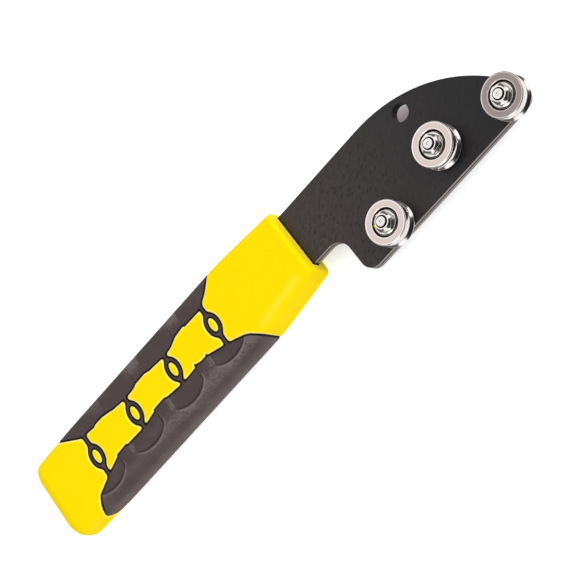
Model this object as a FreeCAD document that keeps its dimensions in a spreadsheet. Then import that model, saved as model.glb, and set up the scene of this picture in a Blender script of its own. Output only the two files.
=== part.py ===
import FreeCAD, Part
import math
import os

import Sketcher

# Wire straightener: a moulded handle, a flat steel head and three grooved ball-bearing rollers.
# Lengths are in millimetres. +X runs along the tool towards the tip, +Y from the roller line towards the
# arched back of the head, and +Z from the handle's back face towards the rollers. The sub-parts are drawn
# from a datum on the axis of the first roller, at the height of the handle's back face, and are then placed
# so that the row's origin is under the middle of the whole tool.

SIZES = {
    # handle
    "handle_length": 112.0,  # butt to collar end
    "handle_width": 27.3,  # across the grip
    "handle_thickness": 13.0,  # back face to front face
    "handle_offset": 19.25,  # handle axis above the roller line
    "collar_width": 23.1,  # across the collar's end
    "collar_lift": 0.3,  # collar's middle above the handle's axis
    "collar_length": 22.0,  # tapered stretch behind the head
    "taper_radius": 80.0,  # blend where the taper starts
    "side_radius": 3.5,  # rounding along the sides and round the butt
    "butt_radius": 5.6,  # plan corner of the butt on the arched side
    "butt_low_radius": 4.4,  # and on the roller side
    "collar_rim": 1.3,  # rounding of the collar's end face
    # rubber grip moulded over the handle
    "grip_depth": 1.6,  # thickness of the rubber
    "eyelet_first": 22.8,  # butt to the first eyelet
    "eyelet_pitch": 18.45,
    "eyelet_width": 5.0,
    "eyelet_height": 8.3,
    "eyelet_line": 1.15,  # width of the rubber line round an eyelet
    "eyelet_drop": 0.45,  # eyelets sit this far below the handle axis
    "strap_width": 1.7,  # straps that tie the eyelets to the strips
    "strip_low_mid": 5.9,  # finger strip's edge below the axis, at the middle eyelets
    "strip_low_end": 7.8,  # the same at the first and last eyelets
    "strip_high_mid": 5.05,  # back strip's edge above the axis, at the middle eyelets
    "strip_high_end": 6.6,  # the same at the first and last eyelets
    "tab_width": 4.9,  # raised tabs between the finger scallops
    "tab_lean": 0.9,  # tabs sit this far behind the middle between two eyelets
    "tab_rise": 1.3,
    "tab_step": 0.8,
    "crest_rise": 0.6,  # back strip's edge rises this much between the scallops
    "shoulder_run": 6.35,  # strips keep rising or falling this far past the end eyelets
    "shoulder_fall": 2.4,
    "finger_run_rear": 9.4,  # finger strip runs this far past the first eyelet
    "finger_run_front": 10.2,  # and this far past the last one
    "finger_nose_radius": 5.0,  # rounded rear end of the finger strip
    "back_run_rear": 9.6,  # back strip runs this far past the first eyelet, at the side
    "back_run_front": 7.4,
    "scallop_radius": 6.7,
    "scallop_depth": 0.35,
    "scallop_low": 5.8,  # centres of the finger strip's scallops below the axis
    "scallop_high": 5.2,  # centres of the back strip's scallops above the axis
    # steel head
    "plate_thickness": 3.0,
    "plate_top": 29.5,  # straight back edge above the roller line
    "plate_bottom": 4.3,  # lower edge below the roller line
    "neck_bottom": 10.9,  # lower edge of the neck above the roller line
    "neck_length": 11.5,  # collar to the notch
    "heel_reach": 14.9,  # notch to the first roller's axis
    "notch_radius": 5.0,
    "heel_radius": 4.0,
    "arch_start": 8.0,  # first roller to where the arch leaves the straight back edge
    "arch_radius": 49.0,
    "tip_radius": 4.0,
    "plate_edge": 0.3,  # broken edges of both faces
    "hang_hole_diameter": 5.5,
    "hang_hole_along": 21.5,
    "hang_hole_up": 22.7,
    "tang_length": 96.0,  # inside the handle
    "tang_width": 16.0,
    "tang_shoulder": 2.0,  # neck's full width runs this far into the collar
    "tang_end_radius": 4.0,
    "key_hole_diameter": 6.0,  # holes in the tang that the plastic flows through
    "key_hole_first": 16.8,  # collar end to the first of them
    "key_hole_pitch": 28.0,
    # roller stations
    "roller_span": 48.0,  # first to last roller
    "mid_roller_along": 24.4,
    "mid_roller_rise": 5.5,  # middle roller above the line of the other two
    "roller_gap": 0.7,  # plate to roller
    "roller_diameter": 13.0,
    "roller_width": 5.2,
    "flange_land": 0.6,  # flat rim each side of the groove
    "flange_bevel": 0.15,
    "groove_depth": 1.2,
    "shield_seat_diameter": 8.3,
    "shield_recess": 0.55,  # shield below the roller's face
    "shield_thickness": 0.2,
    "shield_clearance": 0.2,  # shield to inner ring
    "outer_land_diameter": 7.1,  # outer ring's bore beside the race
    "inner_land_diameter": 4.9,  # inner ring's shoulder beside the race
    "inner_ring_width": 4.4,
    "ball_diameter": 1.588,
    "ball_clearance": 0.01,
    "race_margin": 0.03,  # race's radius over the ball's
    "cage_wall": 0.7,
    "cage_height": 1.5,
    "cage_web": 0.35,  # solid rim of the cage under the balls
    "pocket_clearance": 0.06,
    # bolts, nuts, washers and spacers
    "bolt_diameter": 2.96,
    "bore_clearance": 0.02,  # bolt to inner ring and to nut, each side
    "hole_clearance": 0.12,  # bolt to plate, spacer and washer, each side
    "bolt_head_diameter": 5.7,
    "bolt_head_height": 1.65,
    "bolt_head_rim": 0.4,
    "socket_flats": 2.0,
    "socket_depth": 1.0,
    "bolt_tip": 0.4,  # bolt stands this far out of the nut
    "bolt_bevel": 0.3,
    "spacer_diameter": 4.8,
    "washer_diameter": 7.0,
    "washer_thickness": 0.5,
    "nut_flats": 5.5,
    "nut_height": 1.8,
    "nut_bevel": 0.35,
}
EYELETS = 4
KEY_HOLES = 3
BALLS = 7
SIXTH_TURN = math.radians(60)
CUT_MARGIN = 2.0  # cutting tools run this far past what they cut
NEAR = 0.01  # an edge is picked by its place to within this much


class Size:
    """A length that remembers the formula which ties it to the sheet."""

    def __init__(self, value, formula):
        self.value = float(value)
        self.formula = formula

    def joined(self, other, value, sign):
        return Size(value, "(%s %s %s)" % (self.formula, sign, other.formula))

    def __add__(self, other):
        other = as_size(other)
        return self.joined(other, self.value + other.value, "+")

    def __sub__(self, other):
        other = as_size(other)
        return self.joined(other, self.value - other.value, "-")

    def __mul__(self, other):
        other = as_size(other)
        return self.joined(other, self.value * other.value, "*")

    def __truediv__(self, other):
        other = as_size(other)
        return self.joined(other, self.value / other.value, "/")

    def __neg__(self):
        return as_size(0) - self


def as_size(number):
    """A plain number as a Size."""
    if isinstance(number, Size):
        return number
    return Size(number, repr(float(number)))


def root(size):
    """The square root of a Size."""
    return Size(math.sqrt(size.value), "sqrt(%s)" % size.formula)


def fill_sheet(doc):
    """Puts every driving dimension in the sheet under its own alias."""
    sheet = doc.addObject("Spreadsheet::Sheet", "Sizes")
    for row, name in enumerate(SIZES, start=1):
        sheet.set("A%d" % row, name)
        sheet.set("B%d" % row, str(SIZES[name]))
        sheet.setAlias("B%d" % row, name)
    doc.recompute()


def size(name):
    """A driving dimension, bound to its cell."""
    return Size(SIZES[name], "Sizes." + name)


def place(obj, along, across, up):
    """Binds an object's position."""
    obj.setExpression("Placement.Base.x", as_size(along).formula)
    obj.setExpression("Placement.Base.y", as_size(across).formula)
    obj.setExpression("Placement.Base.z", as_size(up).formula)


def new_body(doc, name):
    """An empty body."""
    body = doc.addObject("PartDesign::Body", name)
    body.Label = name
    return body


def new_sketch(body, role):
    """A sketch on one of the body's own origin planes."""
    sketch = body.newObject("Sketcher::SketchObject", body.Name + "_sketch")
    plane = [item for item in body.Origin.OriginFeatures if item.Role == role][0]
    sketch.AttachmentSupport = [(plane, "")]
    sketch.MapMode = "FlatFace"
    return sketch


def arc_between(start, end, radius, turn):
    """The shorter arc from start to end; turn is 1 to the left and -1 to the right."""
    chord = end - start
    half = chord.Length / 2
    rise = math.sqrt(max(radius * radius - half * half, 0))
    left = FreeCAD.Vector(-chord.y, chord.x, 0).normalize()
    centre = (start + end) * 0.5 + left * (turn * rise)
    first, last = (start, end) if turn > 0 else (end, start)
    angle_a = math.atan2(first.y - centre.y, first.x - centre.x)
    angle_b = math.atan2(last.y - centre.y, last.x - centre.x)
    circle = Part.Circle(centre, FreeCAD.Vector(0, 0, 1), radius)
    return Part.ArcOfCircle(circle, angle_a, angle_b + (2 * math.pi if angle_b < angle_a else 0))


def draw_outline(sketch, corners):
    """Draws a closed loop of corners (x, y), or (x, y, radius, turn) where an arc leads to the next."""
    corners = [tuple(as_size(value) for value in corner[:3]) + corner[3:] for corner in corners]
    points = [FreeCAD.Vector(corner[0].value, corner[1].value, 0) for corner in corners]
    ends = []
    for index, corner in enumerate(corners):
        start = points[index]
        end = points[(index + 1) % len(points)]
        if len(corner) == 2:
            edge = sketch.addGeometry(Part.LineSegment(start, end), False)
            ends.append((edge, 1, 2))
            continue
        radius, turn = corner[2:]
        edge = sketch.addGeometry(arc_between(start, end, radius.value, turn), False)
        ends.append((edge, 1, 2) if turn > 0 else (edge, 2, 1))
    for index, (edge, first, last) in enumerate(ends):
        follower, joint, _ = ends[(index + 1) % len(ends)]
        sketch.addConstraint(Sketcher.Constraint("Coincident", edge, last, follower, joint))
    for index, (edge, first, last) in enumerate(ends):
        corner = corners[index]
        for kind, wanted in zip(("DistanceX", "DistanceY"), corner[:2]):
            held = Sketcher.Constraint(kind, -1, 1, edge, first, wanted.value)
            number = sketch.addConstraint(held)
            sketch.setExpression("Constraints[%d]" % number, wanted.formula)
        if len(corner) > 2:
            number = sketch.addConstraint(Sketcher.Constraint("Radius", edge, corner[2].value))
            sketch.setExpression("Constraints[%d]" % number, corner[2].formula)


def pad(body, sketch, height):
    """Thickens a sketch evenly to both sides of its plane."""
    feature = body.newObject("PartDesign::Pad", body.Name + "_pad")
    feature.Profile = sketch
    feature.SideType = "Symmetric"
    feature.setExpression("Length", height.formula)
    sketch.Visibility = False
    return feature


def turned(doc, name, profile):
    """A body turned about its own Z axis; the profile's corners are (radius, height)."""
    body = new_body(doc, name)
    sketch = new_sketch(body, "XZ_Plane")
    draw_outline(sketch, profile)
    feature = body.newObject("PartDesign::Revolution", name + "_turning")
    feature.Profile = sketch
    feature.ReferenceAxis = (sketch, ["V_Axis"])
    feature.Angle = 360
    return body


def round_edges(body, name, radius, wanted):
    """Rounds the edges of the body's last feature that wanted(edge) picks."""
    body.Document.recompute()
    base = body.Tip
    edges = base.Shape.Edges
    picked = ["Edge%d" % number for number, edge in enumerate(edges, start=1) if wanted(edge)]
    feature = body.newObject("PartDesign::Fillet", body.Name + "_" + name)
    feature.Base = (base, picked)
    feature.setExpression("Radius", radius.formula)
    body.Document.recompute()


def upright_at(x, y):
    """Picks an upright edge by its place in plan."""

    def wanted(edge):
        ends = [vertex.Point for vertex in edge.Vertexes]
        near = all(math.hypot(end.x - x.value, end.y - y.value) < NEAR for end in ends)
        return near and len(ends) == 2 and abs(ends[0].z - ends[1].z) > NEAR

    return wanted


def boolean(doc, kind, name, base, tool):
    """A Part::Cut or Part::Common of two objects."""
    result = doc.addObject("Part::" + kind, name)
    result.Label = name
    result.Base = base
    result.Tool = tool
    return result


def fused(doc, name, items):
    """Several objects as one."""
    result = doc.addObject("Part::MultiFuse", name)
    result.Shapes = items
    return result


def cylinder(doc, name, radius, height, along=0, across=0, up=0):
    """An upright cylinder."""
    result = doc.addObject("Part::Cylinder", name)
    result.setExpression("Radius", radius.formula)
    result.setExpression("Height", height.formula)
    place(result, along, across, up)
    return result


# Places along the tool, from the datum on the first roller's axis.
NOTCH_X = -size("heel_reach")
COLLAR_X = NOTCH_X - size("neck_length")
BUTT_X = COLLAR_X - size("handle_length")
AXIS_Y = size("handle_offset")
MIDDLE_Z = size("handle_thickness") / 2
PLATE_FRONT_Z = MIDDLE_Z + size("plate_thickness") / 2
PLATE_BACK_Z = MIDDLE_Z - size("plate_thickness") / 2
ROLLER_Z = PLATE_FRONT_Z + size("roller_gap") + size("roller_width") / 2

# The row's origin, under the middle of the tool's box.
ORIGIN_X = (BUTT_X + size("roller_span") + size("roller_diameter") / 2) / 2
ORIGIN_Y = (AXIS_Y + size("handle_width") / 2 - size("roller_diameter") / 2) / 2


def into_row(obj, up=0):
    """Places a sub-part that was drawn from the datum."""
    place(obj, -ORIGIN_X, -ORIGIN_Y, up)


def taper_blend(run, rise, radius):
    """A blend arc where a side starts to taper: its reach before and after the corner, and its rise."""
    slant = root(run * run + rise * rise)
    reach = radius * (slant - run) / rise
    return reach, reach * run / slant, reach * rise / slant


def handle_form(doc, name, inset):
    """The handle's outer form, drawn in by inset all round: a slab with rounded sides and butt."""
    inset = as_size(inset)
    low_y = AXIS_Y - size("handle_width") / 2 + inset
    high_y = AXIS_Y + size("handle_width") / 2 - inset
    low_collar_y = AXIS_Y + size("collar_lift") - size("collar_width") / 2 + inset
    high_collar_y = AXIS_Y + size("collar_lift") + size("collar_width") / 2 - inset
    butt_x = BUTT_X + inset
    collar_x = COLLAR_X - inset
    taper_x = COLLAR_X - size("collar_length")
    height = size("handle_thickness") - inset * 2
    radius = size("taper_radius") - inset
    low_blend, low_run, low_rise = taper_blend(collar_x - taper_x, low_collar_y - low_y, radius)
    high_blend, high_run, high_rise = taper_blend(collar_x - taper_x, high_y - high_collar_y, radius)
    body = new_body(doc, name)
    sketch = new_sketch(body, "XY_Plane")
    draw_outline(
        sketch,
        [
            (butt_x, low_y),
            (taper_x - low_blend, low_y, radius, 1),
            (taper_x + low_run, low_y + low_rise),
            (collar_x, low_collar_y),
            (collar_x, high_collar_y),
            (taper_x + high_run, high_y - high_rise, radius, 1),
            (taper_x - high_blend, high_y),
            (butt_x, high_y),
        ],
    )
    pad(body, sketch, height)
    round_edges(body, "low_corner", size("butt_low_radius") - inset, upright_at(butt_x, low_y))
    round_edges(body, "high_corner", size("butt_radius") - inset, upright_at(butt_x, high_y))

    def on_a_face(edge):
        box = edge.BoundBox
        flat = box.ZLength < NEAR and abs(abs(box.ZMax) - height.value / 2) < NEAR
        return flat and box.XMin < collar_x.value - NEAR

    round_edges(body, "sides", size("side_radius") - inset, on_a_face)

    def on_the_end(edge):
        return edge.BoundBox.XMin > collar_x.value - NEAR

    round_edges(body, "rim", size("collar_rim"), on_the_end)
    return body


def eyelet_x(index):
    """Where an eyelet of the grip lies along the tool."""
    return BUTT_X + size("eyelet_first") + size("eyelet_pitch") * index


def at_eyelet(name, index):
    """A strip's distance from the axis at an eyelet: one value at the ends, one in between."""
    return size(name + ("_end" if index in (0, EYELETS - 1) else "_mid"))


def grip_strip(doc, name, corners):
    """One strip of the grip's pattern, as a prism through the whole handle."""
    body = new_body(doc, name)
    sketch = new_sketch(body, "XY_Plane")
    draw_outline(sketch, corners)
    pad(body, sketch, size("handle_thickness") + CUT_MARGIN)
    return body


def finger_strip(doc):
    """The strip on the roller side, with raised tabs between the scallops."""
    rear_x = eyelet_x(0) - size("finger_run_rear")
    front_x = eyelet_x(EYELETS - 1) + size("finger_run_front")
    side_y = AXIS_Y - size("handle_width") / 2 - CUT_MARGIN
    shoulder_y = AXIS_Y - size("strip_low_end") - size("shoulder_fall")
    rear_run = size("finger_run_rear") - size("shoulder_run")
    front_run = size("finger_run_front") - size("shoulder_run")
    half_tab = size("tab_width") / 2
    corners = [
        (front_x, side_y),
        (front_x, shoulder_y - front_run),
        (front_x - front_run, shoulder_y),
    ]
    for index in reversed(range(EYELETS)):
        edge_y = AXIS_Y - at_eyelet("strip_low", index)
        corners.append((eyelet_x(index), edge_y))
        if index > 0:
            next_y = AXIS_Y - at_eyelet("strip_low", index - 1)
            tab_y = (edge_y + next_y) / 2 + size("tab_rise")
            foot_y = tab_y - size("tab_step")
            tab_x = eyelet_x(index) - size("eyelet_pitch") / 2 - size("tab_lean")
            corners += [(tab_x + half_tab, foot_y), (tab_x + half_tab, tab_y)]
            corners += [(tab_x - half_tab, tab_y), (tab_x - half_tab, foot_y)]
    corners += [
        (rear_x + rear_run, shoulder_y, size("finger_nose_radius"), 1),
        (rear_x, shoulder_y - rear_run),
        (rear_x, side_y),
    ]
    return grip_strip(doc, "finger_strip", corners)


def back_strip(doc):
    """The strip on the arched side, whose edge rises a little between the scallops."""
    side_y = AXIS_Y + size("handle_width") / 2
    outside_y = side_y + CUT_MARGIN
    rear_x = eyelet_x(0) - size("back_run_rear")
    front_x = eyelet_x(EYELETS - 1) + size("back_run_front")
    half_tab = size("tab_width") / 2
    corners = [(front_x, side_y), (front_x, outside_y), (rear_x, outside_y), (rear_x, side_y)]
    for index in range(EYELETS):
        edge_y = AXIS_Y + at_eyelet("strip_high", index)
        corners.append((eyelet_x(index), edge_y))
        if index < EYELETS - 1:
            next_y = AXIS_Y + at_eyelet("strip_high", index + 1)
            crest_y = (edge_y + next_y) / 2 + size("crest_rise")
            crest_x = eyelet_x(index) + size("eyelet_pitch") / 2
            corners += [(crest_x - half_tab, crest_y), (crest_x + half_tab, crest_y)]
    return grip_strip(doc, "back_strip", corners)


def oval_prism(doc, name, along, width, height):
    """An upright oval prism at an eyelet, through the whole handle."""
    oval = doc.addObject("Part::Ellipse", name + "_outline")
    oval.setExpression("MajorRadius", (height / 2).formula)
    oval.setExpression("MinorRadius", (width / 2).formula)
    oval.Placement.Rotation = FreeCAD.Rotation(FreeCAD.Vector(0, 0, 1), 90)
    length = size("handle_thickness") + CUT_MARGIN
    place(oval, along, AXIS_Y - size("eyelet_drop"), -(length / 2))
    prism = doc.addObject("Part::Extrusion", name)
    prism.Base = oval
    prism.Dir = FreeCAD.Vector(0, 0, 1)
    prism.Solid = True
    prism.setExpression("LengthFwd", length.formula)
    return prism


def strap(doc, name, along):
    """A strap across the yellow window, from strip to strip."""
    reach = size("strip_low_end") + size("strip_high_end")
    length = size("handle_thickness") + CUT_MARGIN
    box = doc.addObject("Part::Box", name)
    box.setExpression("Length", size("strap_width").formula)
    box.setExpression("Width", (reach + CUT_MARGIN).formula)
    box.setExpression("Height", length.formula)
    low_y = AXIS_Y - size("strip_low_end") - CUT_MARGIN / 2
    place(box, along - size("strap_width") / 2, low_y, -(length / 2))
    return box


def grip_pattern(doc):
    """Where the handle is rubber, seen in plan, as one prism."""
    solids = [finger_strip(doc), back_strip(doc)]
    holes = []
    for index in range(EYELETS):
        width = size("eyelet_width")
        height = size("eyelet_height")
        line = size("eyelet_line") * 2
        number = str(index + 1)
        solids.append(strap(doc, "strap_" + number, eyelet_x(index)))
        solids.append(oval_prism(doc, "oval_" + number, eyelet_x(index), width, height))
        holes.append(
            oval_prism(doc, "window_" + number, eyelet_x(index), width - line, height - line)
        )
    return boolean(doc, "Cut", "grip_pattern", fused(doc, "solids", solids), fused(doc, "holes", holes))


def scallops(doc):
    """Cutters for the shallow finger scallops on both strips."""
    length = size("handle_thickness") + CUT_MARGIN
    radius = size("scallop_radius")
    cutters = []
    for index in range(EYELETS):
        along = eyelet_x(index)
        for name, across in (("low", -size("scallop_low")), ("high", size("scallop_high"))):
            label = "scallop_%s_%d" % (name, index + 1)
            centre_y = AXIS_Y + across
            cutters.append(cylinder(doc, label, radius, length, along, centre_y, -(length / 2)))
    return fused(doc, "scallop_cutters", cutters)


def make_handle(doc, blank):
    """The yellow core and the rubber skin, which fill the outer form between them, round the tang."""
    form = handle_form(doc, "handle_form", 0)
    under = handle_form(doc, "form_under_rubber", size("grip_depth"))
    dished = handle_form(doc, "form_under_scallops", size("scallop_depth"))
    skin = boolean(doc, "Cut", "skin", form, under)
    rubber = boolean(doc, "Common", "rubber", skin, grip_pattern(doc))
    rind = boolean(doc, "Cut", "rind", form, dished)
    dishes = boolean(doc, "Common", "dishes", rind, scallops(doc))
    grip = boolean(doc, "Cut", "grip_overmould", rubber, dishes)
    into_row(grip, MIDDLE_Z)
    hollowed = boolean(doc, "Cut", "hollowed", form, rubber)
    core = boolean(doc, "Cut", "handle_core", hollowed, blank)
    into_row(core, MIDDLE_Z)
    return [core, grip]


def head_blank(doc):
    """The punched plate with its tang and the holes that key it into the plastic."""
    top_y = size("plate_top")
    bottom_y = -size("plate_bottom")
    neck_y = size("neck_bottom")
    shoulder_x = COLLAR_X - size("tang_shoulder")
    tang_x = COLLAR_X - size("tang_length")
    tang_low_y = AXIS_Y - size("tang_width") / 2
    tang_high_y = AXIS_Y + size("tang_width") / 2
    radius = size("arch_radius")
    drop = radius - top_y + bottom_y
    tip_x = size("arch_start") + root(radius * radius - drop * drop)
    body = new_body(doc, "head_blank")
    sketch = new_sketch(body, "XY_Plane")
    draw_outline(
        sketch,
        [
            (tang_x, tang_low_y),
            (shoulder_x, tang_low_y),
            (shoulder_x, neck_y),
            (NOTCH_X, neck_y),
            (NOTCH_X, bottom_y),
            (tip_x, bottom_y, radius, 1),
            (size("arch_start"), top_y),
            (shoulder_x, top_y),
            (shoulder_x, tang_high_y),
            (tang_x, tang_high_y),
        ],
    )
    pad(body, sketch, size("plate_thickness"))
    round_edges(body, "notch", size("notch_radius"), upright_at(NOTCH_X, neck_y))
    round_edges(body, "heel", size("heel_radius"), upright_at(NOTCH_X, bottom_y))
    round_edges(body, "tip", size("tip_radius"), upright_at(tip_x, bottom_y))
    for name, corner_y in (("tang_low", tang_low_y), ("tang_high", tang_high_y)):
        round_edges(body, name, size("tang_end_radius"), upright_at(tang_x, corner_y))
    half = size("plate_thickness").value / 2

    def on_a_face(edge):
        box = edge.BoundBox
        return box.ZLength < NEAR and abs(abs(box.ZMax) - half) < NEAR and box.XMax > COLLAR_X.value

    round_edges(body, "edges", size("plate_edge"), on_a_face)
    length = size("plate_thickness") + CUT_MARGIN
    holes = []
    for index in range(KEY_HOLES):
        hole_x = COLLAR_X - size("key_hole_first") - size("key_hole_pitch") * index
        radius = size("key_hole_diameter") / 2
        name = "key_hole_%d" % (index + 1)
        holes.append(cylinder(doc, name, radius, length, hole_x, AXIS_Y, -(length / 2)))
    return boolean(doc, "Cut", "keyed_blank", body, fused(doc, "key_holes", holes))


def station_places():
    """Each roller's place, from the datum."""
    return [
        (as_size(0), as_size(0)),
        (size("mid_roller_along"), size("mid_roller_rise")),
        (size("roller_span"), as_size(0)),
    ]


def head_plate(doc, blank):
    """The head with its bolt holes and its hanging hole."""
    length = size("plate_thickness") + CUT_MARGIN
    bolt_hole = size("bolt_diameter") / 2 + size("hole_clearance")
    holes = []
    for number, (along, up) in enumerate(station_places(), start=1):
        name = "bolt_hole_%d" % number
        holes.append(cylinder(doc, name, bolt_hole, length, along, up, -(length / 2)))
    hang = size("hang_hole_diameter") / 2
    place_x = size("hang_hole_along")
    place_y = size("hang_hole_up")
    holes.append(cylinder(doc, "hang_hole", hang, length, place_x, place_y, -(length / 2)))
    plate = boolean(doc, "Cut", "head_plate", blank, fused(doc, "drilled_holes", holes))
    into_row(plate, MIDDLE_Z)
    return plate


def ring(doc, name, inner, outer, low, high):
    """A plain ring."""
    return turned(doc, name, [(inner, low), (outer, low), (outer, high), (inner, high)])


def race_height(land, pitch, radius, side):
    """Half the race's opening at a land; side is 1 for the outer ring and -1 for the inner."""
    depth = (land - pitch) * side
    return root(radius * radius - depth * depth)


def outer_ring(doc, name):
    """The grooved roller: flanges, U groove, shield seats and outer race."""
    half = size("roller_width") / 2
    rim = size("roller_diameter") / 2
    bevel = size("flange_bevel")
    lip = half - size("flange_land")
    depth = size("groove_depth")
    groove_radius = (lip * lip + depth * depth) / (depth * 2)
    seat = size("shield_seat_diameter") / 2
    step = half - size("shield_recess") - size("shield_thickness")
    land = size("outer_land_diameter") / 2
    race_radius = size("ball_diameter") / 2 + size("race_margin")
    race_centre = pitch_radius() - size("race_margin") + size("ball_clearance")
    opening = race_height(land, race_centre, race_radius, 1)
    return turned(
        doc,
        name,
        [
            (seat, -half),
            (rim - bevel, -half),
            (rim, bevel - half),
            (rim, -lip, groove_radius, -1),
            (rim, lip),
            (rim, half - bevel),
            (rim - bevel, half),
            (seat, half),
            (seat, step),
            (land, step),
            (land, opening, race_radius, -1),
            (land, -opening),
            (land, -step),
            (seat, -step),
        ],
    )


def pitch_radius():
    """Radius of the circle on which the balls run."""
    return (size("outer_land_diameter") + size("inner_land_diameter")) / 4


def inner_ring(doc, name):
    """The clamped ring with the inner race."""
    half = size("inner_ring_width") / 2
    bore = size("bolt_diameter") / 2 + size("bore_clearance")
    land = size("inner_land_diameter") / 2
    race_radius = size("ball_diameter") / 2 + size("race_margin")
    race_centre = pitch_radius() + size("race_margin") - size("ball_clearance")
    opening = race_height(land, race_centre, race_radius, -1)
    return turned(
        doc,
        name,
        [
            (bore, -half),
            (land, -half),
            (land, -opening, race_radius, -1),
            (land, opening),
            (land, half),
            (bore, half),
        ],
    )


def shield(doc, name, side):
    """A pressed shield in the roller's face: side is 1 for the front and -1 for the rear."""
    top = size("roller_width") / 2 - size("shield_recess")
    base = top - size("shield_thickness")
    inner = size("inner_land_diameter") / 2 + size("shield_clearance")
    outer = size("shield_seat_diameter") / 2
    low, high = (base, top) if side > 0 else (-top, -base)
    return ring(doc, name, inner, outer, low, high)


def sphere_circle(doc, name, radius):
    """One sphere for each ball, round the pitch circle."""
    spheres = []
    for index in range(BALLS):
        angle = 2 * math.pi * index / BALLS
        sphere = doc.addObject("Part::Sphere", "%s_%d" % (name, index + 1))
        sphere.setExpression("Radius", radius.formula)
        along = pitch_radius() * math.cos(angle)
        across = pitch_radius() * math.sin(angle)
        place(sphere, along, across, 0)
        spheres.append(sphere)
    group = doc.addObject("Part::Compound", name)
    group.Label = name
    group.Links = spheres
    return group


def cage(doc, name):
    """A crown cage: a thin ring under the balls, with a pocket for each."""
    inner = pitch_radius() - size("cage_wall") / 2
    outer = pitch_radius() + size("cage_wall") / 2
    pocket = size("ball_diameter") / 2 + size("pocket_clearance")
    low = -(pocket + size("cage_web"))
    crown = ring(doc, name + "_crown", inner, outer, low, low + size("cage_height"))
    return boolean(doc, "Cut", name, crown, sphere_circle(doc, name + "_pockets", pocket))


def hexagon_radius(flats):
    """A hexagon's corner radius from its width across flats."""
    return flats / (2 * math.sin(SIXTH_TURN))


def hexagon(doc, name, flats, height, up):
    """An upright hexagonal prism."""
    result = doc.addObject("Part::Prism", name)
    result.Polygon = 6
    result.setExpression("Circumradius", hexagon_radius(flats).formula)
    result.setExpression("Height", height.formula)
    place(result, 0, 0, up)
    return result


def nut(doc, name):
    """A thin hexagon nut with bevelled corners, from its seat upwards."""
    height = size("nut_height")
    bore = size("bolt_diameter") / 2 + size("bore_clearance")
    corner = hexagon_radius(size("nut_flats"))
    face = size("nut_flats") / 2 - size("nut_bevel") / 2
    bevel = size("nut_bevel")
    profile = [
        (bore, 0),
        (face, 0),
        (corner, bevel),
        (corner, height - bevel),
        (face, height),
        (bore, height),
    ]
    blank = turned(doc, name + "_turning", profile)
    flats = hexagon(doc, name + "_flats", size("nut_flats"), height, 0)
    return boolean(doc, "Common", name, flats, blank)


def bolt(doc, name):
    """A button-head bolt, from under its head: the shank runs up through plate, spacer, ring and nut."""
    radius = size("bolt_diameter") / 2
    head = size("bolt_head_diameter") / 2
    depth = size("bolt_head_height")
    rim = size("bolt_head_rim")
    crown = depth - rim
    dome = (head * head + crown * crown) / (crown * 2)
    bevel = size("bolt_bevel")
    length = shank_length()
    profile = [
        (0, -depth, dome, 1),
        (head, -rim),
        (head, 0),
        (radius, 0),
        (radius, length - bevel),
        (radius - bevel, length),
        (0, length),
    ]
    blank = turned(doc, name + "_turning", profile)
    deep = size("socket_depth")
    socket = hexagon(doc, name + "_socket", size("socket_flats"), deep * 2, -depth - deep)
    return boolean(doc, "Cut", name, blank, socket)


def spacer_height():
    """The spacer fills the gap from the plate to the inner ring."""
    return size("roller_gap") + (size("roller_width") - size("inner_ring_width")) / 2


def shank_length():
    """The bolt passes plate, spacer, inner ring, washer and nut, and stands out by its tip."""
    clamped = size("plate_thickness") + spacer_height() + size("inner_ring_width")
    return clamped + size("washer_thickness") + size("nut_height") + size("bolt_tip")


def make_station(doc, number, along, across):
    """All the pieces on one bolt: those that turn and those that are clamped."""
    prefix = "roller_%d_" % number
    clear_bore = size("bolt_diameter") / 2 + size("hole_clearance")
    washer_z = ROLLER_Z + size("inner_ring_width") / 2
    spacer = ring(doc, prefix + "spacer", clear_bore, size("spacer_diameter") / 2, 0, spacer_height())
    washer_size = size("washer_diameter") / 2
    washer = ring(doc, prefix + "washer", clear_bore, washer_size, 0, size("washer_thickness"))
    pieces = [
        (bolt(doc, prefix + "bolt"), PLATE_BACK_Z),
        (spacer, PLATE_FRONT_Z),
        (inner_ring(doc, prefix + "inner_ring"), ROLLER_Z),
        (sphere_circle(doc, prefix + "balls", size("ball_diameter") / 2), ROLLER_Z),
        (cage(doc, prefix + "cage"), ROLLER_Z),
        (outer_ring(doc, prefix + "outer_ring"), ROLLER_Z),
        (shield(doc, prefix + "front_shield", 1), ROLLER_Z),
        (shield(doc, prefix + "rear_shield", -1), ROLLER_Z),
        (washer, washer_z),
        (nut(doc, prefix + "nut"), washer_z + size("washer_thickness")),
    ]
    for piece, up in pieces:
        place(piece, along - ORIGIN_X, across - ORIGIN_Y, up)
    return [piece for piece, _ in pieces]


def check(doc, parts):
    """Stops if an object failed or a sub-part's shape is missing or not valid."""
    for item in doc.Objects:
        if "Invalid" in item.State or "Error" in item.State:
            raise RuntimeError("%s failed: %s" % (item.Name, item.State))
    for item in parts:
        if item.Shape.isNull() or not item.Shape.isValid() or not item.Shape.Solids:
            raise RuntimeError(item.Label + " has no valid solid")


def build():
    """Makes the document and writes one STEP file for each sub-part."""
    doc = FreeCAD.newDocument("wire_straightener")
    fill_sheet(doc)
    blank = head_blank(doc)
    parts = [head_plate(doc, blank)]
    parts += make_handle(doc, blank)
    for number, (along, across) in enumerate(station_places(), start=1):
        parts += make_station(doc, number, along, across)
    doc.recompute()
    check(doc, parts)
    os.makedirs("parts", exist_ok=True)
    for item in parts:
        item.Shape.exportStep("parts/" + item.Label + ".step")
        print("%-26s %2d solid %10.2f mm3" % (item.Label, len(item.Shape.Solids), item.Shape.Volume))


build()
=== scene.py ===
import math
from functools import partial

import bmesh
import bpy
import numpy as np
from mathutils import Matrix, Vector


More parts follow.
